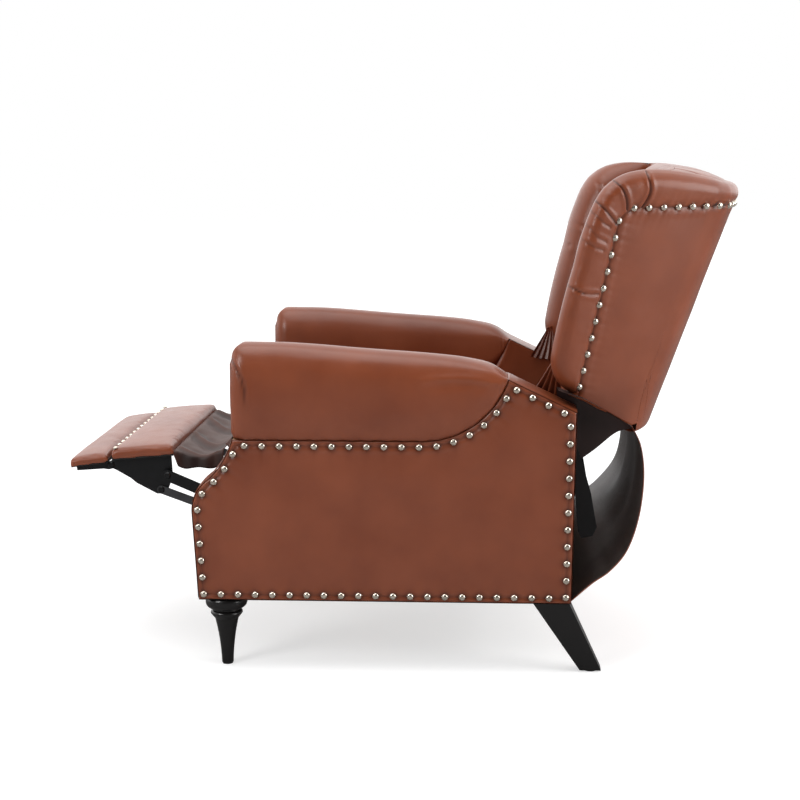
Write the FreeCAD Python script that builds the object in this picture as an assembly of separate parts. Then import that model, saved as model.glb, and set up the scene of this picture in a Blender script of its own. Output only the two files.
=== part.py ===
import FreeCAD, Part
import math
import os

# Wingback push-back recliner with its footrest out, in millimetres.
# X runs to the sitter's left, Y to the rear, Z up from the floor.
# Lengths along Y are given from the arm datum and moved by datum_shift on export,
# so that the origin is under the middle of the whole chair.

os.makedirs("parts", exist_ok=True)
V = FreeCAD.Vector

# Overall
datum_shift = -16.3
leg_height = 140.0
seat_half = 247.0
seat_side_gap = 8.0
arm_width = 83.0
arm_inner_half = seat_half + seat_side_gap
panel_half = arm_inner_half + arm_width
running_gap = 0.3

# Arm side outline, Y and Z in the side view
arm_front_foot_y = -372.0
arm_front_shoulder_y = -381.0
arm_front_shoulder_z = 310.0
shoulder_mid = (-371.0, 352.0)
shoulder_end = (-347.0, 378.0)
neck_mid = (-318.0, 415.0)
seam_front_y = -301.0
seam_z = 453.5
seam_arc_start_y = 56.0
seam_arc_radius = 179.5
seam_arc_half_deg = 33.8
slope_top = (222.0, 572.8)
slope_end = (351.0, 511.0)
arm_rear_foot_y = 345.0

# Arm build-up, measured across the chair
outer_pad_thickness = 8.0
board_thickness = 18.0
inner_panel_thickness = 8.0
front_post_depth = 60.0
rear_post_depth = 55.0
top_board_thickness = 18.0
panel_edge_radius = 5.0

# Arm roll
roll_outer_x = panel_half + 13.0
roll_inner_x = arm_inner_half - 5.5
roll_top_z = 637.0
roll_mid_z = 545.0
roll_shoulder_drop = 40.0
roll_front_y = -305.0
roll_crest_drops = [(-266.0, 0.0), (-55.0, 11.0), (87.0, 21.0), (150.0, 29.0), (190.0, 40.0)]
roll_end_drop = 62.0

# Nails
nail_radius = 6.0
nail_height = 4.5
nail_pitch = 33.0
nail_inset = 11.0
nail_sides = 6
footrest_nail_count = 15

# Legs
front_leg_x = panel_half - 42.0
front_leg_y = -325.0
leg_bun_radius = 40.5
leg_foot_radius = 11.5
rear_leg_x = panel_half - 33.0
rear_leg_top_y = 306.0
rear_leg_foot_y = 384.0
rear_leg_top = (50.0, 70.0)
rear_leg_foot = (34.0, 41.0)
glide_height = 3.0

# Cross pieces of the base
rear_rail_height = 60.0
rear_rail_thickness = 20.0
stretcher_width = 60.0
stretcher_thickness = 22.0
stretcher_y = -50.0

# Steel mechanism: plates lie in layers, counted inward from the arm
plate = 3.0
layer_pitch = 4.0
link_half_width = 11.0
pin_radius = 4.0
pin_clearance = 0.05
pin_head_radius = 7.0
pin_head_height = 2.0
base_rail_z0 = 165.0
base_rail_height = 52.0
base_rail_front_y = -200.0
base_rail_rear_y = 250.0
tube_side = 25.0
tube_wall = 2.0
tube_y = 40.0
swing_length = 160.0
swing_open_deg = 44.5
swing_base_z = 190.0
swing_front_y = -90.0
swing_rear_y = 140.0

# Footrest linkage, in the open position
support_pivot = (-132.3, 307.4)
support_length = 165.0
support_open_deg = 183.3
carry_vector = (-150.0, 64.0)
parallel_offset = 45.0
control_arm = 26.0
control_arm_deg = 232.0
control_eye = (-15.0, -30.0)

# Footrest pads
pad_half = seat_half - 2.0
pad_rear = (-433.0, 402.0)
pad_length = 126.0
pad_tilt_deg = 4.9
pad_board = 8.0
pad_soft = 14.0
pad_crown = 5.0
flipper_rear = (-563.5, 387.5)
flipper_length = 77.0
flipper_tilt_deg = 8.5
flipper_board = 6.0
flipper_soft = 13.0
flipper_pivot = (-561.0, 380.0)
flap_mid = (-388.0, 424.0)
flap_tip = (-335.0, 430.0)
flap_thickness = 4.0
bracket_belly = (-511.0, 344.0)
bracket_chin = (-523.0, 354.0)

# Seat
seat_front_y = -238.0
seat_rear_y = 292.0
seat_frame_z = 388.0
seat_frame_height = 32.0
seat_frame_width = 26.0
seat_top_z = 468.0
seat_crown = 14.0
spring_count = 6
spring_bends = 12
spring_swing = 18.0
spring_wire = 1.9
border_drop = 95.0
border_thickness = 18.0
border_half = seat_half - 37.0
apron_thickness = 3.0
apron_mid = (-292.0, 398.0)
plate_hole_radius = 22.0
plate_holes = [(95.0, 345.0), (175.0, 345.0)]

# Back, in the reclined position of the photograph's pose
lean = 0.36
back_ref_z = 891.0
wing_lip_x = panel_half - 1.0
wing_lip_y = 390.0
wing_lip_mid = (arm_inner_half + 48.0, 360.0)
wing_lip_inner = (arm_inner_half + 17.0, 392.0)
wing_turn = (arm_inner_half + 15.0, 524.0)
wing_corner_mid = (arm_inner_half - 17.5, 582.5)
wing_inner_x = arm_inner_half - 9.0
wing_inner_y0 = 442.0
wing_inner_y1 = 546.0
wing_hollow = (arm_inner_half - 23.0, 586.0)
back_corner = (arm_inner_half - 55.0, 638.0)
back_centre_y = 672.0
outer_shell = 8.0
back_bottom_z = 452.0
cushion_front_y = 474.0
cushion_sag = 22.0
cushion_back_y = 546.0
cushion_side_gap = 2.5
cushion_bottom_z = 474.0
cushion_top_z = 890.0
crest_z = 960.0
top_cut_z = crest_z + 15.0
button_radius = 9.0
button_height = 4.0
button_rows = 4
button_low_z = 560.0
button_rise = 88.0
button_column = 144.0
tuft_depth = 9.0
tuft_spread = 16.0
recline_pivot = (330.0, 440.0)
bracket_pivot = (300.0, 400.0)
stile_width = 28.0
stile_depth = 26.0
frame_low_z = 478.0
frame_high_z = 886.0
frame_rail_height = 44.0
back_plate_half_width = 10.0
back_plate_route = [(400.5, 455.0), (417.8, 500.0), (436.6, 552.0)]

# Side view of a wing, front edge from the bottom up, then over the top
wing_low_front = (343.0, 537.0)
wing_waist = (311.0, 568.0)
wing_neck = (302.0, 615.0)
wing_swell = (317.0, 692.0)
wing_chest = (341.0, 784.0)
wing_brow = (367.0, 876.0)
wing_top_front = (411.0, 945.0)
wing_top_mid = (487.0, 961.0)
wing_top_rear = (566.0, 953.0)
wing_heel = (617.0, 937.0)
wing_rear = (645.0, 900.0)
wing_bottom_y = 463.0
wing_bottom_z = 467.0

# Side view of the crest at the middle of the back
crest_nose = (486.0, 934.0)
crest_brow = (497.0, 956.0)
crest_front = (524.0, 964.0)
crest_mid = (600.0, 953.0)
crest_rear = (652.0, 932.0)
crest_heel = (670.0, 919.0)
crest_end_z = 905.0
crest_start_y = 140.0

# Nails of the back, in the side view
wing_nails = [(424.0, 868.0), (391.0, 712.0), (356.0, 553.0)]
top_nails_y = 452.0

# Bracket between the seat and the back, round its outline from the pivot
bracket_tail = [(340.0, 384.0), (352.0, 340.0), (359.0, 262.0), (366.0, 246.0), (388.0, 250.0),
                (396.0, 268.0), (384.0, 336.0), (368.0, 392.0), (352.0, 440.0), (338.0, 452.0),
                (322.0, 452.0)]

# Skirt behind the base
skirt_half = panel_half - 13.0
skirt_thickness = 3.0
# Stations from the back down: inset from the skirt's half width, Y and Z, near side then far side
skirt_stations = [((129, 456, 512), (129, 456, 512)), ((125, 461, 470), (125, 461, 470)),
                  ((89, 478, 430), (89, 474, 422)), ((63, 483, 368), (67, 472, 350)),
                  ((41, 475, 296), (45, 458, 296)), ((25, 454, 238), (29, 424, 248)),
                  ((13, 421, 200), (17, 392, 216)), ((5, 385, 176), (7, 367, 186)),
                  ((0, 345.5, 143), (0, 345.5, 143))]


def pt(x, y, z):
    return V(x, y, z)


def yz(p, x=0.0):
    return V(x, p[0], p[1])


def line(a, b):
    return Part.makeLine(a, b)


def arc(a, m, b):
    return Part.Arc(a, m, b).toShape()


def face(edges):
    return Part.Face(Part.Wire(Part.sortEdges(edges)[0]))


def slab(edges_yz, x0, x1):
    """A side-view outline, drawn at X = 0, given its thickness from x0 to x1."""
    f = face(edges_yz)
    f.translate(V(x0, 0, 0))
    return f.extrude(V(x1 - x0, 0, 0))


def box(x0, x1, y0, y1, z0, z1):
    return Part.makeBox(x1 - x0, y1 - y0, z1 - z0, V(x0, y0, z0))


def mirrored(shape):
    return shape.mirror(V(0, 0, 0), V(1, 0, 0))


def cylinder_x(x0, x1, p, radius):
    return Part.makeCylinder(radius, x1 - x0, V(x0, p[0], p[1]), V(1, 0, 0))


def add(a, b):
    return (a[0] + b[0], a[1] + b[1])


def polar(length, degrees):
    return (length * math.cos(math.radians(degrees)), length * math.sin(math.radians(degrees)))


def export(name, shape):
    out = shape.copy()
    out.translate(V(0, datum_shift, 0))
    if not out.isValid():
        raise ValueError(name + " is not a valid solid")
    out.exportStep("parts/" + name + ".step")
    print(name, len(out.Solids), round(out.Volume / 1000.0, 1))
    exported.append(name)


def export_pair(name, left):
    export(name + "_left", left)
    export(name + "_right", mirrored(left))


exported = []


# Layers of the mechanism on the left side, from the arm inwards
def layer(index):
    x1 = arm_inner_half - index * layer_pitch
    return x1 - plate, x1


rail_layer = layer(0)
swing_layer = layer(1)
seat_layer = layer(2)
parallel_layer = layer(3)
carry_layer = layer(4)
support_layer = layer(5)
control_layer = layer(6)
bracket_layer = layer(7)
flipper_layer = layer(8)


def bar(points, layer_x, half_width=None):
    """A flat link: straight lengths between points, with round ends and joints."""
    w = half_width if half_width else link_half_width
    x0, x1 = layer_x
    shape = cylinder_x(x0, x1, points[0], w)
    for a, b in zip(points, points[1:]):
        dy = b[0] - a[0]
        dz = b[1] - a[1]
        length = math.hypot(dy, dz)
        ny = -dz / length * w
        nz = dy / length * w
        corners = [V(x0, a[0] + ny, a[1] + nz), V(x0, b[0] + ny, b[1] + nz),
                   V(x0, b[0] - ny, b[1] - nz), V(x0, a[0] - ny, a[1] - nz)]
        strip = Part.Face(Part.makePolygon(corners + corners[:1])).extrude(V(x1 - x0, 0, 0))
        shape = shape.fuse(strip).fuse(cylinder_x(x0, x1, b, w))
    return shape.removeSplitter()


def drilled(shape, points, layer_x, clearance=pin_clearance):
    for p in points:
        hole = cylinder_x(layer_x[0] - 1, layer_x[1] + 1, p, pin_radius + clearance)
        shape = shape.cut(hole)
    return shape


def rivet(p, carrier, partner, head_in=True, head_out=False):
    """A pin fixed in the carrier plate that reaches through the partner plate."""
    x0 = min(carrier[0], partner[0])
    x1 = max(carrier[1], partner[1])
    shape = cylinder_x(x0, x1, p, pin_radius)
    if head_in:
        head = Part.makeCone(pin_head_radius - 2, pin_head_radius, pin_head_height,
                             V(x0 - running_gap - pin_head_height, p[0], p[1]), V(1, 0, 0))
        neck = cylinder_x(x0 - running_gap, x0, p, pin_radius)
        shape = shape.fuse(neck).fuse(head)
    if head_out:
        head = Part.makeCone(pin_head_radius, pin_head_radius - 2, pin_head_height,
                             V(x1 + running_gap, p[0], p[1]), V(1, 0, 0))
        neck = cylinder_x(x1, x1 + running_gap, p, pin_radius)
        shape = shape.fuse(neck).fuse(head)
    return shape


# Arms

def arm_outline():
    """Edges of the side panel, seen from the side."""
    foot = pt(0, arm_front_foot_y, leg_height)
    shoulder = pt(0, arm_front_shoulder_y, arm_front_shoulder_z)
    seam_front = pt(0, seam_front_y, seam_z)
    seam_mid = pt(0, seam_arc_start_y, seam_z)
    half = math.radians(seam_arc_half_deg)
    arc_mid = pt(0, seam_arc_start_y + seam_arc_radius * math.sin(half),
                 seam_z + seam_arc_radius * (1 - math.cos(half)))
    rear_foot = pt(0, arm_rear_foot_y, leg_height)
    return [line(foot, shoulder),
            arc(shoulder, yz(shoulder_mid), yz(shoulder_end)),
            arc(yz(shoulder_end), yz(neck_mid), seam_front),
            line(seam_front, seam_mid),
            arc(seam_mid, arc_mid, yz(slope_top)),
            line(yz(slope_top), yz(slope_end)),
            line(yz(slope_end), rear_foot),
            line(rear_foot, foot)]


board_x1 = panel_half - outer_pad_thickness
board_x0 = board_x1 - board_thickness
inner_x1 = arm_inner_half + inner_panel_thickness


def outer_panel():
    shape = slab(arm_outline(), board_x1, panel_half)
    rim = [e for e in shape.Edges if e.BoundBox.XMin > panel_half - 0.01]
    return shape.makeFillet(panel_edge_radius, rim)


def arm_roll():
    """Rolled arm top: sections across the arm, lofted along it, cut by the seam."""
    def section(y, drop):
        top = roll_top_z - drop
        k = (top - seam_z) / (roll_top_z - seam_z)
        side = seam_z + (roll_mid_z - seam_z) * k
        shoulder = seam_z + (roll_top_z - roll_shoulder_drop - seam_z) * k
        a = pt(panel_half, y, seam_z - 6)
        b = pt(roll_outer_x - 6, y, shoulder)
        c = pt(roll_inner_x + 8, y, shoulder)
        d = pt(arm_inner_half, y, seam_z - 6)
        middle = (roll_outer_x + roll_inner_x) / 2
        return Part.Wire([arc(a, pt(roll_outer_x, y, side), b),
                          arc(b, pt(middle, y, top), c),
                          arc(c, pt(roll_inner_x, y, side), d),
                          line(d, a)])

    stations = [(roll_front_y - 5, 0.0)] + roll_crest_drops + [(slope_top[0], roll_end_drop)]
    body = Part.makeLoft([section(y, drop) for y, drop in stations], True, True)
    front_low = pt(0, seam_front_y, seam_z - 10)
    front_mid = pt(0, roll_front_y, roll_mid_z)
    front_high = pt(0, roll_front_y + 9, roll_top_z - 22)
    crest = pt(0, roll_front_y + 34, roll_top_z + 1)
    rear_high = pt(0, slope_top[0], roll_top_z + 1)
    rear_low = pt(0, slope_top[0], seam_z - 10)
    profile = [arc(front_low, front_mid, front_high),
               arc(front_high, pt(0, roll_front_y + 17, roll_top_z - 7), crest),
               line(crest, rear_high), line(rear_high, rear_low), line(rear_low, front_low)]
    body = body.common(slab(profile, roll_inner_x - 5, roll_outer_x + 5))
    return body.cut(slab(arm_outline(), roll_inner_x - 10, roll_outer_x + 10))


def arm_block(x0, x1, y0, y1, z0, z1):
    return slab(arm_outline(), x0, x1).common(box(x0, x1, y0, y1, z0, z1))


rail_bolt_points = [(base_rail_front_y + 25, base_rail_z0 + 12),
                    (25.0, base_rail_z0 + 12),
                    (base_rail_rear_y - 25, base_rail_z0 + 12)]
bolt_radius = 3.0


def inner_panel():
    shape = slab(arm_outline(), arm_inner_half, inner_x1)
    for p in rail_bolt_points:
        shape = shape.cut(cylinder_x(arm_inner_half - 1, inner_x1 + 1, p, bolt_radius))
    return shape


def nail(seat, outward, gap=0.0):
    """A low domed nail head on a flat or gently curved face."""
    base_ring = []
    top_ring = []
    axis = V(outward)
    axis.normalize()
    position = seat + axis * gap
    side = axis.cross(V(0, 0, 1))
    if side.Length < 0.1:
        side = V(1, 0, 0)
    side.normalize()
    up = axis.cross(side)
    for i in range(nail_sides):
        a = 2 * math.pi * i / nail_sides
        base_ring.append(position + side * (nail_radius * math.cos(a)) + up * (nail_radius * math.sin(a)))
        top_ring.append(position + axis * nail_height + side * (nail_radius * 0.45 * math.cos(a))
                        + up * (nail_radius * 0.45 * math.sin(a)))
    faces = [Part.Face(Part.makePolygon(base_ring + base_ring[:1])),
             Part.Face(Part.makePolygon(top_ring + top_ring[:1]))]
    for i in range(nail_sides):
        j = (i + 1) % nail_sides
        ring = [base_ring[i], base_ring[j], top_ring[j], top_ring[i], base_ring[i]]
        faces.append(Part.Face(Part.makePolygon(ring)))
    solid = Part.Solid(Part.Shell(faces))
    if solid.Volume < 0:
        solid.reverse()
    return solid


def side_nails():
    outline = Part.Wire(Part.sortEdges(arm_outline())[0])
    loop = outline.makeOffset2D(-nail_inset)
    if loop.BoundBox.YLength > outline.BoundBox.YLength:
        loop = outline.makeOffset2D(nail_inset)
    count = int(round(loop.Length / nail_pitch))
    heads = []
    for p in loop.discretize(Number=count + 1)[:-1]:
        for side in (1, -1):
            heads.append(nail(V(side * panel_half, p.y, p.z), V(side, 0, 0)))
    return Part.makeCompound(heads)


# Legs

def front_leg():
    """Turned leg: neck ring, bun, long taper to a small foot."""
    h = leg_height
    r = leg_bun_radius
    f = leg_foot_radius
    z0 = glide_height
    outline = [line(V(0, 0, z0), V(f, 0, z0)),
               line(V(f, 0, z0), V(f, 0, z0 + 4)),
               arc(V(f, 0, z0 + 4), V(f + 3.5, 0, 50), V(23, 0, h - 47)),
               arc(V(23, 0, h - 47), V(28, 0, h - 41), V(31, 0, h - 37)),
               arc(V(31, 0, h - 37), V(30.5, 0, h - 33), V(26, 0, h - 30)),
               line(V(26, 0, h - 30), V(25.5, 0, h - 26)),
               arc(V(25.5, 0, h - 26), V(r - 1, 0, h - 19), V(r, 0, h - 12)),
               arc(V(r, 0, h - 12), V(r - 2, 0, h - 4), V(r - 8, 0, h)),
               line(V(r - 8, 0, h), V(0, 0, h)),
               line(V(0, 0, h), V(0, 0, z0))]
    shape = face(outline).revolve(V(0, 0, 0), V(0, 0, 1), 360)
    shape.translate(V(front_leg_x, front_leg_y, 0))
    return shape


def rear_leg():
    """Square leg that tapers and rakes to the rear."""
    def ring(size, y, z):
        w = size[0] / 2
        d = size[1] / 2
        corners = [V(rear_leg_x - w, y - d, z), V(rear_leg_x + w, y - d, z),
                   V(rear_leg_x + w, y + d, z), V(rear_leg_x - w, y + d, z)]
        return Part.makePolygon(corners + corners[:1])

    return Part.makeLoft([ring(rear_leg_foot, rear_leg_foot_y, glide_height),
                          ring(rear_leg_top, rear_leg_top_y, leg_height)], True, True)


def leg_glides():
    glides = []
    for side in (1, -1):
        glides.append(Part.makeCylinder(leg_foot_radius - 1.5, glide_height,
                                        V(side * front_leg_x, front_leg_y, 0)))
        glides.append(Part.makeCylinder(rear_leg_foot[0] / 2 - 4, glide_height,
                                        V(side * rear_leg_x, rear_leg_foot_y, 0)))
    return Part.makeCompound(glides)


def base_parts():
    export_pair("outer_panel", outer_panel())
    board = slab(arm_outline(), board_x0, board_x1)
    export("side_boards", Part.makeCompound([board, mirrored(board)]))
    export_pair("inner_panel", inner_panel())
    post_top = seam_z - top_board_thickness
    front_y1 = arm_front_shoulder_y + front_post_depth
    rear_y0 = arm_rear_foot_y - rear_post_depth
    front = arm_block(inner_x1, board_x0, arm_front_shoulder_y - 5, front_y1, leg_height, post_top)
    rear = arm_block(inner_x1, board_x0, rear_y0, slope_end[0] + 5, leg_height, slope_top[1])
    top = arm_block(inner_x1, board_x0, arm_front_shoulder_y - 5, rear_y0, post_top, seam_z)
    export("front_posts", Part.makeCompound([front, mirrored(front)]))
    export("rear_posts", Part.makeCompound([rear, mirrored(rear)]))
    export("arm_top_boards", Part.makeCompound([top, mirrored(top)]))
    export_pair("arm_roll", arm_roll())
    rail_y1 = arm_rear_foot_y - 2
    rail = box(-arm_inner_half, arm_inner_half, rail_y1 - rear_rail_thickness, rail_y1,
               leg_height + 2, leg_height + 2 + rear_rail_height)
    export("rear_rail", rail)
    stretcher = box(-arm_inner_half, arm_inner_half, stretcher_y - stretcher_width / 2,
                    stretcher_y + stretcher_width / 2, base_rail_z0 - stretcher_thickness, base_rail_z0)
    export("stretcher", stretcher)
    export_pair("front_leg", front_leg())
    export_pair("rear_leg", rear_leg())
    export("leg_glides", leg_glides())
    export("side_nails", side_nails())


# Mechanism

front_base_pin = (swing_front_y, swing_base_z)
rear_base_pin = (swing_rear_y, swing_base_z)
swing_vector = polar(swing_length, 90 - swing_open_deg)
front_seat_pin = add(front_base_pin, swing_vector)
rear_seat_pin = add(rear_base_pin, swing_vector)
knee = add(support_pivot, polar(support_length, support_open_deg))
carry_length = math.hypot(carry_vector[0], carry_vector[1])
offset = (-carry_vector[0] / carry_length * parallel_offset,
          -carry_vector[1] / carry_length * parallel_offset)
parallel_pivot = add(support_pivot, offset)
parallel_knee = add(knee, offset)
footrest_pin = add(knee, carry_vector)
control_joint = add(knee, polar(control_arm, control_arm_deg))
control_pin = add(footrest_pin, control_eye)


def base_rail():
    x0, x1 = rail_layer
    z1 = base_rail_z0 + base_rail_height
    shape = box(x0, x1, base_rail_front_y, base_rail_rear_y, base_rail_z0, z1)
    upright = [e for e in shape.Edges if e.BoundBox.YLength < 0.01 and e.BoundBox.ZLength < 0.01]
    shape = shape.makeFillet(15.0, upright)
    for p in rail_bolt_points:
        shape = shape.cut(cylinder_x(x0 - 1, x1 + 1, p, bolt_radius))
    pins = [rivet(front_base_pin, rail_layer, swing_layer),
            rivet(rear_base_pin, rail_layer, swing_layer)]
    for p in (front_base_pin, rear_base_pin):
        shape = shape.cut(cylinder_x(x0 - 1, x1 + 1, p, pin_radius))
    bolts = []
    for p in rail_bolt_points:
        shank = cylinder_x(x0, inner_x1, p, bolt_radius)
        bolts.append(shank.fuse(cylinder_x(x0 - 2, x0, p, bolt_radius + 3)))
    return Part.makeCompound([shape] + pins + bolts)


def base_tube():
    x = rail_layer[0]
    z0 = base_rail_z0 - tube_wall
    outer = box(-x, x, tube_y, tube_y + tube_side, z0, z0 + tube_side)
    bore = box(-x - 1, x + 1, tube_y + tube_wall, tube_y + tube_side - tube_wall,
               z0 + tube_wall, z0 + tube_side - tube_wall)
    return outer.cut(bore)


def swing_link(lower, upper):
    shape = bar([lower, upper], swing_layer)
    return drilled(shape, [lower, upper], swing_layer)


def seat_plate():
    """Side plate of the seat: carries the seat frame and every seat-side pivot."""
    x0, x1 = seat_layer
    top = seat_frame_z + seat_frame_height - 6
    low = [support_pivot, front_seat_pin, rear_seat_pin, bracket_pivot]
    corners = [V(x0, support_pivot[0] - 14, support_pivot[1] + 6),
               V(x0, support_pivot[0], support_pivot[1] - 16),
               V(x0, parallel_pivot[0], parallel_pivot[1] - 16),
               V(x0, front_seat_pin[0], front_seat_pin[1] - 14),
               V(x0, rear_seat_pin[0], rear_seat_pin[1] - 14),
               V(x0, rear_seat_pin[0] + 20, rear_seat_pin[1] - 4),
               V(x0, bracket_pivot[0] + 18, bracket_pivot[1] - 14),
               V(x0, bracket_pivot[0] + 18, top),
               V(x0, seat_front_y + 30, top),
               V(x0, seat_front_y + 30, seat_frame_z)]
    shape = Part.Face(Part.makePolygon(corners + corners[:1])).extrude(V(x1 - x0, 0, 0))
    for p in plate_holes:
        shape = shape.cut(cylinder_x(x0 - 1, x1 + 1, p, plate_hole_radius))
    for p in low + [parallel_pivot]:
        shape = shape.cut(cylinder_x(x0 - 1, x1 + 1, p, pin_radius))
    pins = [rivet(front_seat_pin, seat_layer, swing_layer, False, True),
            rivet(rear_seat_pin, seat_layer, swing_layer, False, True),
            rivet(support_pivot, seat_layer, support_layer),
            rivet(parallel_pivot, seat_layer, parallel_layer),
            rivet(bracket_pivot, seat_layer, parallel_layer)]
    return Part.makeCompound([shape] + pins)


def support_link():
    shape = bar([support_pivot, knee, control_joint], support_layer)
    shape = drilled(shape, [support_pivot], support_layer)
    shape = shape.cut(cylinder_x(support_layer[0] - 1, support_layer[1] + 1, knee, pin_radius))
    return Part.makeCompound([shape, rivet(knee, support_layer, carry_layer, False, True)])


def parallel_link():
    shape = bar([parallel_pivot, parallel_knee], parallel_layer)
    shape = drilled(shape, [parallel_pivot], parallel_layer)
    shape = shape.cut(cylinder_x(parallel_layer[0] - 1, parallel_layer[1] + 1, parallel_knee, pin_radius))
    pin = rivet(parallel_knee, parallel_layer, carry_layer)
    return Part.makeCompound([shape, pin])


def carry_link():
    shape = bar([parallel_knee, knee, footrest_pin], carry_layer)
    return drilled(shape, [parallel_knee, knee, footrest_pin], carry_layer)


def control_rod():
    shape = bar([control_pin, control_joint], control_layer, 8.0)
    return drilled(shape, [control_pin], control_layer)


# Footrest

def along(corner, tilt_deg, forward, up):
    """A point beside a tilted pad: forward from its rear lower corner, and up from its underside."""
    tilt = math.radians(tilt_deg)
    return (corner[0] - forward * math.cos(tilt) - up * math.sin(tilt),
            corner[1] - forward * math.sin(tilt) + up * math.cos(tilt))


def pad_point(forward, up):
    return along(pad_rear, pad_tilt_deg, forward, up)


def flipper_point(forward, up):
    return along(flipper_rear, flipper_tilt_deg, forward, up)


def pad_slab(point, f0, f1, up0, up1, half, bulge, crown):
    """A pad lying along the footrest: rounded front and rear edges and a crowned top."""
    a = yz(point(f0, up0))
    b = yz(point(f1, up0))
    c_mid = yz(point(f1 + bulge, (up0 + up1) / 2))
    c = yz(point(f1 - 5, up1))
    d_mid = yz(point((f0 + f1) / 2, up1 + crown))
    d = yz(point(f0 + 5, up1))
    e_mid = yz(point(f0 - bulge, (up0 + up1) / 2))
    edges = [line(a, b), arc(b, c_mid, c), arc(c, d_mid, d), arc(d, e_mid, a)]
    return slab(edges, -half, half)


def board_slab(point, f0, f1, up0, up1, half):
    a = yz(point(f0, up0))
    b = yz(point(f1, up0))
    c = yz(point(f1, up1))
    d = yz(point(f0, up1))
    return slab([line(a, b), line(b, c), line(c, d), line(d, a)], -half, half)


def ottoman_bracket():
    """D-shaped plate under the pad, with the two link eyes and the hinge eye of the flipper."""
    x0, x1 = bracket_layer
    rear = pad_point(8, 0)
    front = pad_point(pad_length - 14, 0)
    eye = flipper_pivot
    corners = [yz(rear, x0),
               yz((rear[0] + 2, footrest_pin[1] - 4), x0),
               yz((control_pin[0] + 10, control_pin[1] - 9), x0),
               yz((control_pin[0] - 9, control_pin[1] - 9), x0),
               yz(bracket_belly, x0),
               yz(bracket_chin, x0),
               yz((eye[0] + 10, eye[1] - 10), x0),
               yz((eye[0] - 8, eye[1] - 2), x0),
               yz((eye[0] - 2, eye[1] + 8), x0),
               yz(front, x0)]
    shape = Part.Face(Part.makePolygon(corners + corners[:1])).extrude(V(x1 - x0, 0, 0))
    for p in (footrest_pin, control_pin, flipper_pivot):
        shape = shape.cut(cylinder_x(x0 - 1, x1 + 1, p, pin_radius))
    pins = [rivet(footrest_pin, bracket_layer, carry_layer, True, True),
            rivet(control_pin, bracket_layer, control_layer, True, True),
            rivet(flipper_pivot, bracket_layer, flipper_layer, True, True)]
    return Part.makeCompound([shape] + pins)


def flipper_arm():
    """Bent arm that carries the flipper from the eye at the front of the main bracket."""
    x0, x1 = flipper_layer
    heel = flipper_point(6, 0)
    toe = flipper_point(flipper_length - 8, 0)
    toe_low = flipper_point(flipper_length - 8, -10)
    eye = flipper_pivot
    corners = [yz(heel, x0), yz(toe, x0), yz(toe_low, x0),
               yz(flipper_point(16, -14), x0), yz((eye[0] - 6, eye[1] - 10), x0),
               yz((eye[0] + 7, eye[1] - 7), x0), yz((eye[0] + 8, eye[1] + 2), x0),
               yz((eye[0] + 2, eye[1] + 6), x0)]
    shape = Part.Face(Part.makePolygon(corners + corners[:1])).extrude(V(x1 - x0, 0, 0))
    return drilled(shape, [eye], flipper_layer)


def footrest_flap():
    """Leather flap that covers the way from the pad up towards the seat."""
    t = flap_thickness
    low = pad_point(-3.0, pad_board)
    mid = flap_mid
    edges = [arc(yz(low), yz(mid), yz(flap_tip)),
             line(yz(flap_tip), yz((flap_tip[0], flap_tip[1] + t))),
             arc(yz((flap_tip[0], flap_tip[1] + t)), yz((mid[0], mid[1] + t)), yz((low[0], low[1] + t))),
             line(yz((low[0], low[1] + t)), yz(low))]
    return slab(edges, -pad_half + 8, pad_half - 8)


def footrest_nails():
    heads = []
    step = (2 * pad_half - 2 * nail_inset) / (footrest_nail_count - 1)
    y, z = pad_point(pad_length - nail_inset, pad_board + pad_soft + 1.1)
    for i in range(footrest_nail_count):
        heads.append(nail(V(-pad_half + nail_inset + i * step, y, z), V(0, -0.24, 0.97)))
    return Part.makeCompound(heads)


def ottoman_parts():
    export_pair("ottoman_bracket", ottoman_bracket())
    export("ottoman_board", board_slab(pad_point, 2, pad_length - 2, 0, pad_board, pad_half - 6))
    soft_top = pad_board + pad_soft
    export("ottoman_pad", pad_slab(pad_point, 0, pad_length, pad_board, soft_top, pad_half, 3, pad_crown))
    export("footrest_flap", footrest_flap())
    export("footrest_nails", footrest_nails())
    arm = flipper_arm()
    export("flipper_arms", Part.makeCompound([arm, mirrored(arm)]))
    export("flipper_board", board_slab(flipper_point, 2, flipper_length - 2, 0, flipper_board, pad_half - 6))
    top = flipper_board + flipper_soft
    export("flipper_pad", pad_slab(flipper_point, 0, flipper_length, flipper_board, top, pad_half, 3, 3))


# Seat

seat_frame_top = seat_frame_z + seat_frame_height
spring_z1 = seat_frame_top + 2 * spring_wire
seat_frame_outer = seat_layer[0]


def seat_springs():
    """Sinuous springs: flat zigzags of wire from the front rail to the rear rail."""
    front = seat_front_y + border_thickness + 8
    rear = seat_rear_y - 12
    spread = 2 * (seat_frame_outer - seat_frame_width - 30) / (spring_count - 1)
    springs = []
    for n in range(spring_count):
        centre = (n - (spring_count - 1) / 2) * spread
        step = (rear - front) / spring_bends
        left = []
        right = []
        for i in range(spring_bends + 1):
            x = centre + (spring_swing if i % 2 else -spring_swing)
            y = front + i * step
            left.append(V(x - 2 * spring_wire, y, seat_frame_top))
            right.append(V(x + 2 * spring_wire, y, seat_frame_top))
        ring = left + right[::-1]
        springs.append(Part.Face(Part.makePolygon(ring + ring[:1])).extrude(V(0, 0, 2 * spring_wire)))
    return Part.makeCompound(springs)


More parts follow.
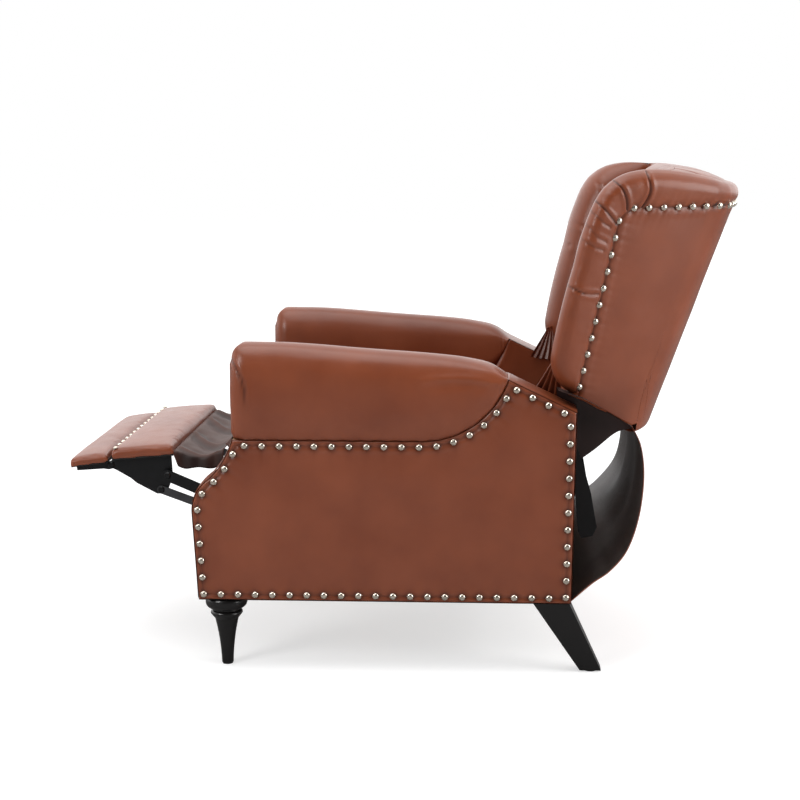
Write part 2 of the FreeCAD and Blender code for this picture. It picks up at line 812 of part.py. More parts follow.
def seat_cushion():
    """Box cushion with a crown both ways, drawn-in sides and a bull-nosed front."""
    z0 = spring_z1 + running_gap
    side = seat_half - 5
    mid = (z0 + seat_top_z) / 2
    across = [line(V(-side, 0, z0), V(side, 0, z0)),
              arc(V(side, 0, z0), V(seat_half, 0, mid), V(side, 0, seat_top_z - 6)),
              arc(V(side, 0, seat_top_z - 6), V(0, 0, seat_top_z + seat_crown), V(-side, 0, seat_top_z - 6)),
              arc(V(-side, 0, seat_top_z - 6), V(-seat_half, 0, mid), V(-side, 0, z0))]
    body = face(across)
    body.translate(V(0, seat_front_y - 40, 0))
    body = body.extrude(V(0, seat_rear_y - seat_front_y + 80, 0))
    nose = seat_front_y - 14
    top = seat_top_z + seat_crown
    profile = [line(V(0, seat_front_y + 2, z0), V(0, seat_rear_y, z0)),
               line(V(0, seat_rear_y, z0), V(0, seat_rear_y, top - 18)),
               arc(V(0, seat_rear_y, top - 18), V(0, 60, top + 1), V(0, nose + 26, top - 10)),
               arc(V(0, nose + 26, top - 10), V(0, nose, mid + 6), V(0, seat_front_y + 2, z0))]
    return body.common(slab(profile, -seat_half - 5, seat_half + 5))


def seat_border():
    y1 = seat_front_y + border_thickness
    z1 = spring_z1
    z0 = z1 - border_drop
    edges = [line(V(0, y1, z0), V(0, y1, z1)), line(V(0, y1, z1), V(0, seat_front_y + 3, z1)),
             arc(V(0, seat_front_y + 3, z1), V(0, seat_front_y - 1, (z0 + z1) / 2), V(0, seat_front_y + 3, z0)),
             line(V(0, seat_front_y + 3, z0), V(0, y1, z0))]
    return slab(edges, -border_half, border_half)


def seat_apron():
    """Slack leather between the seat border and the footrest flap."""
    t = apron_thickness
    rear = (seat_front_y - running_gap, spring_z1 - 22)
    mid = apron_mid
    tip = (flap_tip[0] + 3.5, flap_tip[1] - 3)
    edges = [arc(yz(rear), yz(mid), yz(tip)),
             line(yz(tip), yz((tip[0], tip[1] + t))),
             arc(yz((tip[0], tip[1] + t)), yz((mid[0], mid[1] + t)), yz((rear[0], rear[1] + t))),
             line(yz((rear[0], rear[1] + t)), yz(rear))]
    return slab(edges, -pad_half + 12, pad_half - 12)


def seat_parts():
    export_pair("seat_plate", seat_plate())
    y0 = seat_front_y + border_thickness
    y1 = seat_rear_y - 4
    w = seat_frame_width
    outer = seat_frame_outer
    z0 = seat_frame_z
    z1 = seat_frame_top
    export("seat_front_rail", box(-outer + w, outer - w, y0, y0 + w, z0, z1))
    export("seat_rear_rail", box(-outer + w, outer - w, y1 - w, y1, z0, z1))
    side = box(outer - w, outer, y0, y1, z0, z1)
    export("seat_side_rails", Part.makeCompound([side, mirrored(side)]))
    export("seat_springs", seat_springs())
    export("seat_cushion", seat_cushion())
    export("seat_border", seat_border())
    export("seat_apron", seat_apron())


# Back

def shear_slab(edges_xy, z0, z1):
    """A plan outline drawn at the reference height, run up the lean of the back."""
    f = face(edges_xy)
    f.translate(V(0, lean * (z0 - back_ref_z), z0))
    return f.extrude(V(0, lean * (z1 - z0), z1 - z0))


def xy(p):
    return V(p[0], p[1], 0)


def wing_profile():
    """Side view of a wing."""
    low_rear = V(0, wing_rear[0] - lean * (wing_rear[1] - wing_bottom_z), wing_bottom_z)
    under = V(0, wing_bottom_y, wing_bottom_z)
    return [arc(yz(wing_low_front), yz(wing_waist), yz(wing_neck)),
            arc(yz(wing_neck), yz(wing_swell), yz(wing_chest)),
            arc(yz(wing_chest), yz(wing_brow), yz(wing_top_front)),
            arc(yz(wing_top_front), yz(wing_top_mid), yz(wing_top_rear)),
            arc(yz(wing_top_rear), yz(wing_heel), yz(wing_rear)),
            line(yz(wing_rear), low_rear), line(low_rear, under), line(under, yz(wing_low_front))]


def wing():
    lip = (wing_lip_x, wing_lip_y)
    heel = (back_corner[0], back_corner[1] - outer_shell - 3)
    plan = [line(xy(lip), xy(wing_turn)),
            arc(xy(wing_turn), xy(wing_corner_mid), xy(back_corner)),
            line(xy(back_corner), xy(heel)),
            arc(xy(heel), xy(wing_hollow), V(wing_inner_x, wing_inner_y1, 0)),
            line(V(wing_inner_x, wing_inner_y1, 0), V(wing_inner_x, wing_inner_y0, 0)),
            line(V(wing_inner_x, wing_inner_y0, 0), xy(wing_lip_inner)),
            arc(xy(wing_lip_inner), xy(wing_lip_mid), xy(lip))]
    body = shear_slab(plan, wing_bottom_z - 20, top_cut_z)
    return body.common(slab(wing_profile(), back_corner[0] - 20, panel_half + 20))


def crest_profile():
    """Side view of the middle of the back: rounded crest, falling to the rear."""
    low = back_bottom_z
    rear_top = V(0, back_centre_y + lean * (crest_end_z - back_ref_z), crest_end_z)
    rear_low = V(0, back_centre_y + lean * (low - back_ref_z) + 2, low)
    start = V(0, crest_start_y, low)
    return [line(start, yz(crest_nose)),
            arc(yz(crest_nose), yz(crest_brow), yz(crest_front)),
            arc(yz(crest_front), yz(crest_mid), yz(crest_rear)),
            arc(yz(crest_rear), yz(crest_heel), rear_top),
            line(rear_top, rear_low), line(rear_low, start)]


def on_crest(body):
    return body.common(slab(crest_profile(), -panel_half, panel_half))


def outer_back():
    c = back_corner
    t = outer_shell
    plan = [arc(V(c[0], c[1], 0), V(0, back_centre_y, 0), V(-c[0], c[1], 0)),
            line(V(-c[0], c[1], 0), V(-c[0], c[1] - t, 0)),
            arc(V(-c[0], c[1] - t, 0), V(0, back_centre_y - t, 0), V(c[0], c[1] - t, 0)),
            line(V(c[0], c[1] - t, 0), V(c[0], c[1], 0))]
    return on_crest(shear_slab(plan, back_bottom_z, crest_z))


cushion_x = wing_inner_x - cushion_side_gap
cushion_edge_y = cushion_front_y + cushion_sag


def cushion_face_y(x):
    """Front of the inside back at the reference height, across its crown."""
    radius = (cushion_x * cushion_x + cushion_sag * cushion_sag) / (2 * cushion_sag)
    return cushion_front_y + radius - math.sqrt(radius * radius - x * x)


def button_places():
    places = []
    for row in range(button_rows):
        z = button_low_z + row * button_rise
        half = button_column / 2
        columns = (-half, half) if row % 2 else (-button_column, 0.0, button_column)
        for x in columns:
            places.append((x, cushion_face_y(x) + lean * (z - back_ref_z), z))
    return places


face_normal = V(0, -1, lean)
face_normal.normalize()


def back_cushion():
    """Inside back: crowned across, rounded over the crest, pulled in at each button."""
    edge = cushion_edge_y
    rear = cushion_back_y
    rear_x = cushion_x - 2
    plan = [arc(V(-cushion_x, edge, 0), V(0, cushion_front_y, 0), V(cushion_x, edge, 0)),
            line(V(cushion_x, edge, 0), V(rear_x, rear, 0)),
            line(V(rear_x, rear, 0), V(-rear_x, rear, 0)),
            line(V(-rear_x, rear, 0), V(-cushion_x, edge, 0))]
    body = on_crest(shear_slab(plan, cushion_bottom_z, top_cut_z))
    for x, y, z in button_places():
        start = V(x, y, z) - face_normal * tuft_depth
        dimple = Part.makeCone(button_radius + 1, button_radius + tuft_spread, tuft_depth + 3, start, face_normal)
        body = body.cut(dimple)
    return body


def tuft_buttons():
    buttons = []
    for x, y, z in button_places():
        start = V(x, y, z) - face_normal * (tuft_depth - running_gap)
        buttons.append(Part.makeCone(button_radius, button_radius - 3, button_height, start, face_normal))
    return Part.makeCompound(buttons)


def back_top_roll():
    """Padding over the top of the frame, between the inside back and the outer back."""
    front = cushion_back_y + 1
    rear = back_corner[1] - outer_shell - running_gap
    rear_mid = back_centre_y - outer_shell - running_gap
    x = back_corner[0] - 4
    plan = [line(V(-x, front, 0), V(x, front, 0)),
            line(V(x, front, 0), V(x, rear, 0)),
            arc(V(x, rear, 0), V(0, rear_mid, 0), V(-x, rear, 0)),
            line(V(-x, rear, 0), V(-x, front, 0))]
    return on_crest(shear_slab(plan, cushion_top_z, top_cut_z))


def back_frame():
    """Wooden stiles and rails behind the inside back."""
    y0 = cushion_back_y + 2
    y1 = y0 + stile_depth
    x1 = carry_layer[0]
    x0 = x1 - stile_width

    def frame_bar(xa, xb, z0, z1):
        plan = [line(V(xa, y0, 0), V(xb, y0, 0)), line(V(xb, y0, 0), V(xb, y1, 0)),
                line(V(xb, y1, 0), V(xa, y1, 0)), line(V(xa, y1, 0), V(xa, y0, 0))]
        return shear_slab(plan, z0, z1)

    stile = frame_bar(x0, x1, frame_low_z, frame_high_z)
    return Part.makeCompound([stile, mirrored(stile),
                              frame_bar(-x0, x0, frame_high_z - frame_rail_height, frame_high_z),
                              frame_bar(-x0, x0, frame_low_z, frame_low_z + frame_rail_height)])


def back_plate():
    """Steel plate on the stile, hinged to the bracket below."""
    x0, x1 = carry_layer
    shape = bar([recline_pivot] + back_plate_route, carry_layer, back_plate_half_width)
    return shape.cut(cylinder_x(x0 - 1, x1 + 1, recline_pivot, pin_radius + pin_clearance))


def back_bracket():
    """Steel bracket between the seat plate and the back, with its tail behind the seat."""
    x0, x1 = parallel_layer
    head = [(bracket_pivot[0] - 12, bracket_pivot[1] - 8), (bracket_pivot[0] + 2, bracket_pivot[1] - 16)]
    corners = [yz(p, x0) for p in head + bracket_tail]
    shape = Part.Face(Part.makePolygon(corners + corners[:1])).extrude(V(x1 - x0, 0, 0))
    shape = drilled(shape, [bracket_pivot], parallel_layer)
    shape = shape.cut(cylinder_x(x0 - 1, x1 + 1, recline_pivot, pin_radius))
    pin = rivet(recline_pivot, parallel_layer, carry_layer)
    return Part.makeCompound([shape, pin])


def back_nails():
    """Nails down the front of each wing and along the top, round the rear."""
    rise = V(0, lean, 1)
    lip = V(wing_lip_x, wing_lip_y, 0)
    run = V(wing_turn[0], wing_turn[1], 0) - lip
    wing_normal = run.cross(rise)

    def on_wing(y, z):
        share = (y - lean * (z - back_ref_z) - wing_lip_y) / run.y
        return V(wing_lip_x + share * run.x, y, z)

    def pair(at, normal):
        return [nail(at, normal, running_gap),
                nail(V(-at.x, at.y, at.z), V(-normal.x, normal.y, normal.z), running_gap)]

    heads = []
    front_line = arc(yz(wing_nails[0]), yz(wing_nails[1]), yz(wing_nails[2]))
    count = int(round(front_line.Length / nail_pitch))
    for p in front_line.discretize(Number=count + 1):
        heads += pair(on_wing(p.y, p.z), wing_normal)
    z = back_ref_z
    turn = V(wing_turn[0], wing_turn[1], z)
    corner = V(back_corner[0], back_corner[1], z)
    side_arc = arc(turn, V(wing_corner_mid[0], wing_corner_mid[1], z), corner)
    rear_arc = arc(corner, V(0, back_centre_y, z), V(-corner.x, corner.y, z))
    path = Part.Wire([line(on_wing(top_nails_y, z), turn), side_arc, rear_arc])
    centre_length = path.Length - rear_arc.Length / 2
    count = int(round(centre_length / nail_pitch))
    fine = 40
    places = path.discretize(Number=int(round(path.Length / centre_length * count * fine)) + 1)
    for i in range(count + 1):
        k = i * fine
        tangent = places[k + 1] - places[max(k - 1, 0)]
        normal = tangent.cross(rise)
        if i < count:
            heads += pair(places[k], normal)
        else:
            heads.append(nail(V(0, back_centre_y, z), V(0, 1, -lean), running_gap))
    return Part.makeCompound(heads)


def back_parts():
    export_pair("wing", wing())
    export("outer_back", outer_back())
    export("back_cushion", back_cushion())
    export("tuft_buttons", tuft_buttons())
    export("back_top_roll", back_top_roll())
    export("back_frame", back_frame())
    plate_left = back_plate()
    export("back_plates", Part.makeCompound([plate_left, mirrored(plate_left)]))
    bracket = back_bracket()
    export("back_brackets", Part.makeCompound([bracket, mirrored(bracket)]))
    export("back_nails", back_nails())


# Skirt

def back_skirt():
    """Leather that hangs from the back to the rear rail; slack while the chair is open."""
    rings = []
    last = len(skirt_stations) - 1
    for i, (near, far) in enumerate(skirt_stations):
        a = skirt_stations[max(i - 1, 0)][0]
        b = skirt_stations[min(i + 1, last)][0]
        out = V(0, a[2] - b[2], b[1] - a[1])
        out.normalize()
        if i == last:
            out = V(0, 1, 0)
        out = out * skirt_thickness
        n = V(skirt_half - near[0], near[1], near[2])
        f = V(far[0] - skirt_half, far[1], far[2])
        rings.append(Part.makePolygon([n, n + out, f + out, f, n]))
    return Part.makeLoft(rings, True, True)


base_parts()
export("back_skirt", back_skirt())
export_pair("base_rail", base_rail())
export("base_cross_tube", base_tube())
export_pair("front_swing_link", swing_link(front_base_pin, front_seat_pin))
export_pair("rear_swing_link", swing_link(rear_base_pin, rear_seat_pin))
export_pair("support_link", support_link())
export_pair("carry_link", carry_link())
parallel = parallel_link()
export("parallel_links", Part.makeCompound([parallel, mirrored(parallel)]))
rod = control_rod()
export("control_rods", Part.makeCompound([rod, mirrored(rod)]))
ottoman_parts()
seat_parts()
back_parts()
print(len(exported), "nodes")
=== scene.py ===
import bpy, bmesh, math
import numpy as np
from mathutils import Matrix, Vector, noise

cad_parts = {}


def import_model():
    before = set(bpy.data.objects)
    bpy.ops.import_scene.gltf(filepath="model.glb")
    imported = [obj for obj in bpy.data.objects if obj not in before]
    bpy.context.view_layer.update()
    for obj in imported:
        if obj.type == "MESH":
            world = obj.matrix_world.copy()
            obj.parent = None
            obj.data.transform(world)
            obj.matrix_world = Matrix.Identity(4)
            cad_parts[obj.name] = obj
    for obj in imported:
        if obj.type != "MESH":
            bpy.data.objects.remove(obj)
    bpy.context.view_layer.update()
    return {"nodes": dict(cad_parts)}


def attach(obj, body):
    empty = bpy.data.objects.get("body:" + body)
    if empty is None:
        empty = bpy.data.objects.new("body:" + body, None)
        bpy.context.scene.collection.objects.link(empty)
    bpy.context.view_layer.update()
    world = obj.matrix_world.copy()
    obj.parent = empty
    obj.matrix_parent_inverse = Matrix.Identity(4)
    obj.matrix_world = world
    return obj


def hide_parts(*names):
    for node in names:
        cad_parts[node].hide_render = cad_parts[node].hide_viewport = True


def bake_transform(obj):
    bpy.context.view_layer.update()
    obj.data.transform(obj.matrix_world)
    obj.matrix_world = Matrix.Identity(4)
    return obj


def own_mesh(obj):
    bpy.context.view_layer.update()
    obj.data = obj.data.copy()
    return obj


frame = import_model()
scene = bpy.context.scene
nodes = frame["nodes"]

# Positions are in millimetres from the arm datum, as X, Y, Z; a side view has Y, Z pairs.
SHIFT = -16.3  # from the arm datum to the frame, along Y
LEAN = 0.36  # rearward lean of the back for each millimetre of height
REF_Z = 891.0  # height at which the plan of the back is drawn
TURN = 2 * math.pi


# Shapes in numbers

def to_frame(points):
    q = np.array(points, float).reshape(-1, 3)
    q[:, 1] += SHIFT
    return q * 0.001


def from_frame(points):
    q = np.array(points, float) * 1000
    q[..., 1] -= SHIFT
    return q


def resample(points, u):
    p = np.array(points, float)
    step = np.linalg.norm(np.diff(p, axis=0), axis=1)
    t = np.concatenate([[0], np.cumsum(step)])
    u = np.linspace(0, 1, u) if isinstance(u, int) else np.asarray(u)
    return np.stack([np.interp(u * t[-1], t, p[:, k]) for k in range(p.shape[1])], 1)


def curve(points, u=None):
    """A smooth line through the points."""
    p = np.array(points, float)
    q = np.vstack([2 * p[0] - p[1], p, 2 * p[-1] - p[-2]])
    t = np.linspace(0, 1, 16, endpoint=False)[:, None]
    out = []
    for a, b, c, d in zip(q, q[1:], q[2:], q[3:]):
        out.append(0.5 * (2 * b + (c - a) * t + (2 * a - 5 * b + 4 * c - d) * t ** 2
                          + (3 * b - a - 3 * c + d) * t ** 3))
    out.append(p[-1:])
    line = np.vstack(out)
    return line if u is None else resample(line, u)


def arc3(a, m, b, n=24):
    """Points on the circle from a through m to b, in a plane."""
    (ax, ay), (mx, my), (bx, by) = a, m, b
    d = 2 * (ax * (my - by) + mx * (by - ay) + bx * (ay - my))
    a2, m2, b2 = ax * ax + ay * ay, mx * mx + my * my, bx * bx + by * by
    cx = (a2 * (my - by) + m2 * (by - ay) + b2 * (ay - my)) / d
    cy = (a2 * (bx - mx) + m2 * (ax - bx) + b2 * (mx - ax)) / d
    r = math.hypot(ax - cx, ay - cy)
    t0, t1, t2 = (math.atan2(y - cy, x - cx) for x, y in (a, m, b))
    sweep = (t2 - t0) % TURN
    if (t1 - t0) % TURN > sweep:
        sweep -= TURN
    t = t0 + np.linspace(0, sweep, n)
    return np.stack([cx + r * np.cos(t), cy + r * np.sin(t)], 1)


def graded(n, k=0.8):
    """Steps from 0 to 1 that are finer towards both ends."""
    t = np.linspace(0, 1, n)
    return t - k * np.sin(TURN * t) / TURN


def coons(bottom, top, left, right, u, v):
    b, t = resample(bottom, u), resample(top, u)
    l, r = resample(left, v), resample(right, v)
    u, v = u[None, :, None], v[:, None, None]
    return ((1 - v) * b[None] + v * t[None] + (1 - u) * l[:, None] + u * r[:, None]
            - (1 - u) * (1 - v) * b[0] - u * (1 - v) * b[-1] - (1 - u) * v * t[0] - u * v * t[-1])


def away(points, line):
    """Distance of each point from a line of points."""
    line = np.asarray(line, float)
    best = np.full(len(points), np.inf)
    for a, b in zip(line[:-1], line[1:]):
        ab = b - a
        t = np.clip(((points - a) @ ab) / max(ab @ ab, 1e-12), 0, 1)
        gap = points - a - t[:, None] * ab
        best = np.minimum(best, np.sqrt((gap ** 2).sum(1)))
    return best


def away_all(points, lines):
    return np.min([away(points, line) for line in lines], axis=0)


def near_spots(points, spots):
    """Distance of each point from the nearest spot."""
    return np.min([np.linalg.norm(points - spot, axis=1) for spot in spots], axis=0)


def nearest(point, line):
    """The place on a line that is nearest to a point."""
    a, ab = line[:-1], np.diff(line, axis=0)
    k = np.clip(((point - a) * ab).sum(1) / np.maximum((ab ** 2).sum(1), 1e-9), 0, 1)
    places = a + k[:, None] * ab
    return places[np.argmin(np.linalg.norm(point - places, axis=1))]


def inside(points, polygon):
    x, y = points[:, 0], points[:, 1]
    hit = np.zeros(len(points), bool)
    for (x0, y0), (x1, y1) in zip(polygon, np.roll(polygon, -1, 0)):
        cross = (y0 > y) != (y1 > y)
        with np.errstate(divide="ignore", invalid="ignore"):
            at = (x1 - x0) * (y - y0) / (y1 - y0) + x0
        hit ^= cross & (x < at)
    return hit


def bump(d, width):
    return np.exp(-(d / width) ** 2)


def round_in(d, r):
    """How far a rounded edge of radius r has turned in at distance d from its rim."""
    t = np.clip(1 - d / r, 0, 1)
    return r * (1 - np.sqrt(np.clip(1 - t * t, 0, 1)))


def ripple(points, scale, seed=0.0):
    return np.array([noise.noise(Vector((p[0] * scale + seed, p[1] * scale, p[2] * scale)))
                     for p in points])


def grid_faces(rows, cols, start=0, wrap=False):
    i = np.arange(rows - 1)[:, None]
    last = cols if wrap else cols - 1
    j = np.arange(last)[None, :]
    k = (j + 1) % cols
    a = start + i * cols + j
    b = start + i * cols + k
    c = start + (i + 1) * cols + k
    d = start + (i + 1) * cols + j
    return np.stack([a, b, c, d], -1).reshape(-1, 4).tolist()


def link(name, data):
    obj = bpy.data.objects.new(name, data)
    scene.collection.objects.link(obj)
    return obj


def shade_smooth(mesh):
    mesh.polygons.foreach_set("use_smooth", np.ones(len(mesh.polygons), bool))
    mesh.update()


def piece(name, points, faces, material, body, weld=True, painted_shade=None):
    """A mesh object that rides on a body; the last argument says how far painted shade darkens each
    point.
    """
    mesh = bpy.data.meshes.new(name)
    mesh.from_pydata(to_frame(points).tolist(), [], faces)
    mesh.materials.append(material)
    obj = link(name, mesh)
    if painted_shade is not None:
        a = mesh.attributes.new("painted_shade", "FLOAT", "POINT")
        a.data.foreach_set("value", np.asarray(painted_shade, np.float32).ravel())
    if weld:
        bm = bmesh.new()
        bm.from_mesh(mesh)
        bmesh.ops.remove_doubles(bm, verts=bm.verts, dist=0.00002)
        bmesh.ops.recalc_face_normals(bm, faces=bm.faces)
        bm.to_mesh(mesh)
        bm.free()
    shade_smooth(mesh)
    if body:
        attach(obj, body)
    return obj


def sheet_piece(name, grid, material, body, thick=0.0, painted_shade=None):
    rows, cols = grid.shape[:2]
    obj = piece(name, grid.reshape(-1, 3), grid_faces(rows, cols), material, body,
                weld=False, painted_shade=painted_shade)
    if thick:
        m = obj.modifiers.new("thickness", "SOLIDIFY")
        m.thickness = thick * 0.001
        m.offset = 0
    return obj


def two_sheets(name, front, rear, material, body, painted_shade=None):
    """A closed piece from two grids that share their border."""
    rows, cols = front.shape[:2]
    n = rows * cols
    points = np.vstack([front.reshape(-1, 3), rear.reshape(-1, 3)])
    faces = grid_faces(rows, cols) + grid_faces(rows, cols, n)
    index = np.arange(n).reshape(rows, cols)
    ring = np.concatenate([index[0], index[1:, -1], index[-1, -2::-1], index[-2:0:-1, 0]]).tolist()
    for a, b in zip(ring, ring[1:] + ring[:1]):
        faces.append([a, b, n + b, n + a])
    if painted_shade is not None:
        painted_shade = np.concatenate([np.ravel(painted_shade), np.zeros(n)])
    return piece(name, points, faces, material, body, painted_shade=painted_shade)


def mirror(grid):
    out = grid.copy()
    out[..., 0] *= -1
    return out


SIDES = (("left", lambda grid: grid), ("right", mirror))


def dome(points, faces, base, axis, side, radius, height, rings, sides, roundness, sunk=0.0):
    """Adds a dome on base along axis to a list of points and a list of faces."""
    up = np.cross(axis, side)
    start = len(points)
    for k in range(rings):
        t = math.pi / 2 * k / rings
        r = radius * math.cos(t) ** roundness
        h = height * math.sin(t) - sunk * (k == 0)
        for a in TURN * np.arange(sides) / sides:
            points.append(base + axis * h + side * r * math.cos(a) + up * r * math.sin(a))
    points.append(base + axis * height)
    faces += grid_faces(rings, sides, start, wrap=True)
    last = start + (rings - 1) * sides
    faces += [[last + j, last + (j + 1) % sides, len(points) - 1] for j in range(sides)]


# Materials

def srgb(r, g, b):
    def lin(c):
        c /= 255
        return c / 12.92 if c <= 0.04045 else ((c + 0.055) / 1.055) ** 2.4
    return (lin(r), lin(g), lin(b), 1)


def node(tree, kind, *slots, options=None, **inputs):
    """Adds a shader node. Each slot or named input takes a value or the output that feeds it."""
    n = tree.nodes.new("ShaderNode" + kind)
    for key, value in (options or {}).items():
        setattr(n, key, value)
    inputs = {key.replace("_", " "): value for key, value in inputs.items()}
    for key, value in [*enumerate(slots), *inputs.items()]:
        if isinstance(value, bpy.types.NodeSocket):
            tree.links.new(value, n.inputs[key])
        else:
            n.inputs[key].default_value = value
    return n


def empty_tree(owner):
    owner.use_nodes = True
    owner.node_tree.nodes.clear()
    return owner.node_tree


def new_material(name):
    mat = bpy.data.materials.new(name)
    tree = empty_tree(mat)
    return mat, tree, node(tree, "TexCoord").outputs["Object"]


def finish_material(tree, **inputs):
    node(tree, "OutputMaterial", node(tree, "BsdfPrincipled", **inputs).outputs[0])


def ramp(tree, value, low, high, ends=(0.0, 1.0)):
    n = node(tree, "ValToRGB", value)
    for stop, at, colour in zip(n.color_ramp.elements, ends, (low, high)):
        stop.position, stop.color = at, colour
    return n.outputs["Color"]


def relief(tree, height, strength, distance):
    return node(tree, "Bump", Strength=strength, Distance=distance, Height=height).outputs["Normal"]


def uneven(tree, value, low, high):
    return node(tree, "MapRange", Value=value, To_Min=low, To_Max=high).outputs["Result"]


def mottled(tree, place, low, high, scale, painted_shade=True):
    """A colour that wanders between two shades, darkened by painted shade where the surface is
    creased.
    """
    cloud = node(tree, "TexNoise", Vector=place, Scale=scale, Detail=4.0)
    colour = ramp(tree, cloud.outputs["Fac"], low, high, (0.3, 0.7))
    if painted_shade:
        shade_amount = node(tree, "Attribute", options={"attribute_name": "painted_shade"})
        dark = node(tree, "Mix", options={"data_type": "RGBA", "blend_type": "MULTIPLY"},
                    Factor=shade_amount.outputs["Fac"], A=colour, B=(0.22, 0.16, 0.14, 1))
        colour = dark.outputs["Result"]
    return colour


def leather(name, low, high, rough=(0.28, 0.42)):
    mat, tree, place = new_material(name)
    patch = node(tree, "TexNoise", Vector=place, Scale=38.0, Detail=5.0)
    cells = node(tree, "TexVoronoi", options={"feature": "DISTANCE_TO_EDGE"},
                 Vector=place, Scale=620.0)
    fine = node(tree, "TexNoise", Vector=place, Scale=150.0, Detail=6.0)
    grain = node(tree, "Math", cells.outputs["Distance"], fine.outputs["Fac"],
                 options={"operation": "ADD"})
    finish_material(tree, Base_Color=mottled(tree, place, low, high, 9.0),
                    Roughness=uneven(tree, patch.outputs["Fac"], *rough),
                    Normal=relief(tree, grain.outputs[0], 0.12, 0.0008),
                    IOR=1.42, Coat_Weight=0.06, Coat_Roughness=0.2)
    return mat


def metal(name, colour, rough, metallic=1.0, scratch=0.05):
    mat, tree, place = new_material(name)
    dark = tuple(c * 0.75 for c in colour[:3]) + (1,)
    spots = node(tree, "TexNoise", Vector=place, Scale=220.0).outputs["Fac"]
    finish_material(tree, Base_Color=mottled(tree, place, dark, colour, 44.0, painted_shade=False),
                    Roughness=uneven(tree, spots, rough * 0.8, rough * 1.25),
                    Normal=relief(tree, spots, scratch, 0.0004), Metallic=metallic)
    return mat


def wood(name, low, high, rough, coat=0.0):
    mat, tree, place = new_material(name)
    stretch = node(tree, "Mapping", Vector=place, Scale=(60, 60, 6))
    grain = node(tree, "TexNoise", Vector=stretch.outputs["Vector"], Scale=3.0, Detail=8.0,
                 Distortion=1.5).outputs["Fac"]
    finish_material(tree, Base_Color=ramp(tree, grain, low, high), Roughness=rough,
                    Normal=relief(tree, grain, 0.15, 0.0005),
                    Coat_Weight=coat, Coat_Roughness=0.15)
    return mat


def cloth(name, low, high, rough=0.92):
    mat, tree, place = new_material(name)
    threads = node(tree, "TexWave", Vector=place, Scale=900.0 / 6.28, Distortion=1.0)
    finish_material(tree, Base_Color=mottled(tree, place, low, high, 30.0), Roughness=rough,
                    Normal=relief(tree, threads.outputs["Fac"], 0.3, 0.0005))
    return mat


hide = leather("brown_leather", srgb(107, 51, 28), srgb(121, 61, 36))
# A darker copy of the brown leather: painted shade for the slack sheets in the shadow under the
# seat and footrest.
shaded_hide = leather("shaded_leather", srgb(62, 31, 20), srgb(74, 39, 26), rough=(0.56, 0.68))
# Near-black leather: painted shadow for the sheet in the shaded gap under each wing.
shadow_leather = leather("painted_shadow_leather", srgb(32, 15, 12), srgb(42, 20, 16), rough=(0.5, 0.65))
backing = cloth("grey_backing", srgb(46, 38, 35), srgb(58, 49, 46), rough=0.46)
dust_cloth = cloth("black_dust_cloth", srgb(22, 21, 21), srgb(32, 30, 30))
nickel = metal("nickel", srgb(236, 224, 208), 0.12, metallic=0.88, scratch=0.02)
black_steel = metal("black_steel", srgb(20, 20, 22), 0.36, metallic=0.3)
zinc = metal("zinc_steel", srgb(104, 104, 106), 0.42)
spring = metal("spring_steel", srgb(66, 66, 69), 0.35)
ebony = wood("black_lacquered_wood", srgb(9, 7, 7), srgb(16, 12, 12), 0.3, coat=0.2)
timber = wood("frame_timber", srgb(150, 112, 76), srgb(186, 148, 106), 0.7)
glide_plastic = metal("glide_plastic", srgb(30, 30, 31), 0.5, metallic=0.0)


# What stays as built in steel and wood

def dress(names, material):
    for name in names:
        obj = nodes[name]
        for s in obj.material_slots:
            s.material = material
        m = obj.modifiers.new("soft_edges", "EDGE_SPLIT")
        m.split_angle = math.radians(32)


def both(*names):
    return [name + side for name in names for side in ("_left", "_right")]


dress(both("front_leg", "rear_leg"), ebony)
dress(["leg_glides"], glide_plastic)
dress(["side_boards", "front_posts", "rear_posts", "arm_top_boards", "rear_rail", "stretcher",
       "seat_rear_rail", "back_frame"], timber)
dress(["ottoman_board", "flipper_board", "seat_front_rail", "seat_side_rails"], dust_cloth)
dress(both("base_rail", "front_swing_link", "rear_swing_link", "seat_plate", "support_link",
           "ottoman_bracket", "carry_link")
      + ["base_cross_tube", "flipper_arms", "back_brackets", "back_plates"], black_steel)
dress(["control_rods", "parallel_links"], zinc)
dress(["seat_springs"], spring)


# Nail heads

NAIL_REACH = 0.0145  # in metres; the points of one nail lie within this of each other

def nail_places(name):
    """Seat and direction of each nail head of a CAD node."""
    co = np.array([v.co for v in nodes[name].data.vertices], float).reshape(-1, 3)
    co = np.unique(np.round(co, 5), axis=0)
    left = np.ones(len(co), bool)
    places = []
    while left.any():
        first = co[np.argmax(left)]
        near = left & (np.linalg.norm(co - first, axis=1) < NAIL_REACH)
        left &= ~near
        group = co[near]
        order = np.argsort(np.linalg.norm(group - group.mean(0), axis=1))
        half = len(group) // 2
        top, base = group[order[:half]].mean(0), group[order[half:]].mean(0)
        places.append((from_frame(base), (top - base) / np.linalg.norm(top - base)))
    return places


def nail_heads(name, body, radius=6.6, height=4.6):
    points, faces = [], []
    for base, axis in nail_places(name):
        side = np.cross(axis, [0.0, 0.0, 1.0])
        if np.linalg.norm(side) < 0.1:
            side = np.array([1.0, 0.0, 0.0])
        side /= np.linalg.norm(side)
        dome(points, faces, base, axis, side, radius, height, 7, 18, 0.9, sunk=0.6)
    obj = piece(name + "_heads", points, faces, nickel, body)
    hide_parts(name)


nail_heads("side_nails", "base")
nail_heads("back_nails", "back")
nail_heads("footrest_nails", "footrest", radius=4.5, height=3.6)
side_nail_yz = np.array([base[1:] for base, axis in nail_places("side_nails") if base[0] > 0])
back_nail_at = np.array([base for base, axis in nail_places("back_nails")])


# Arms

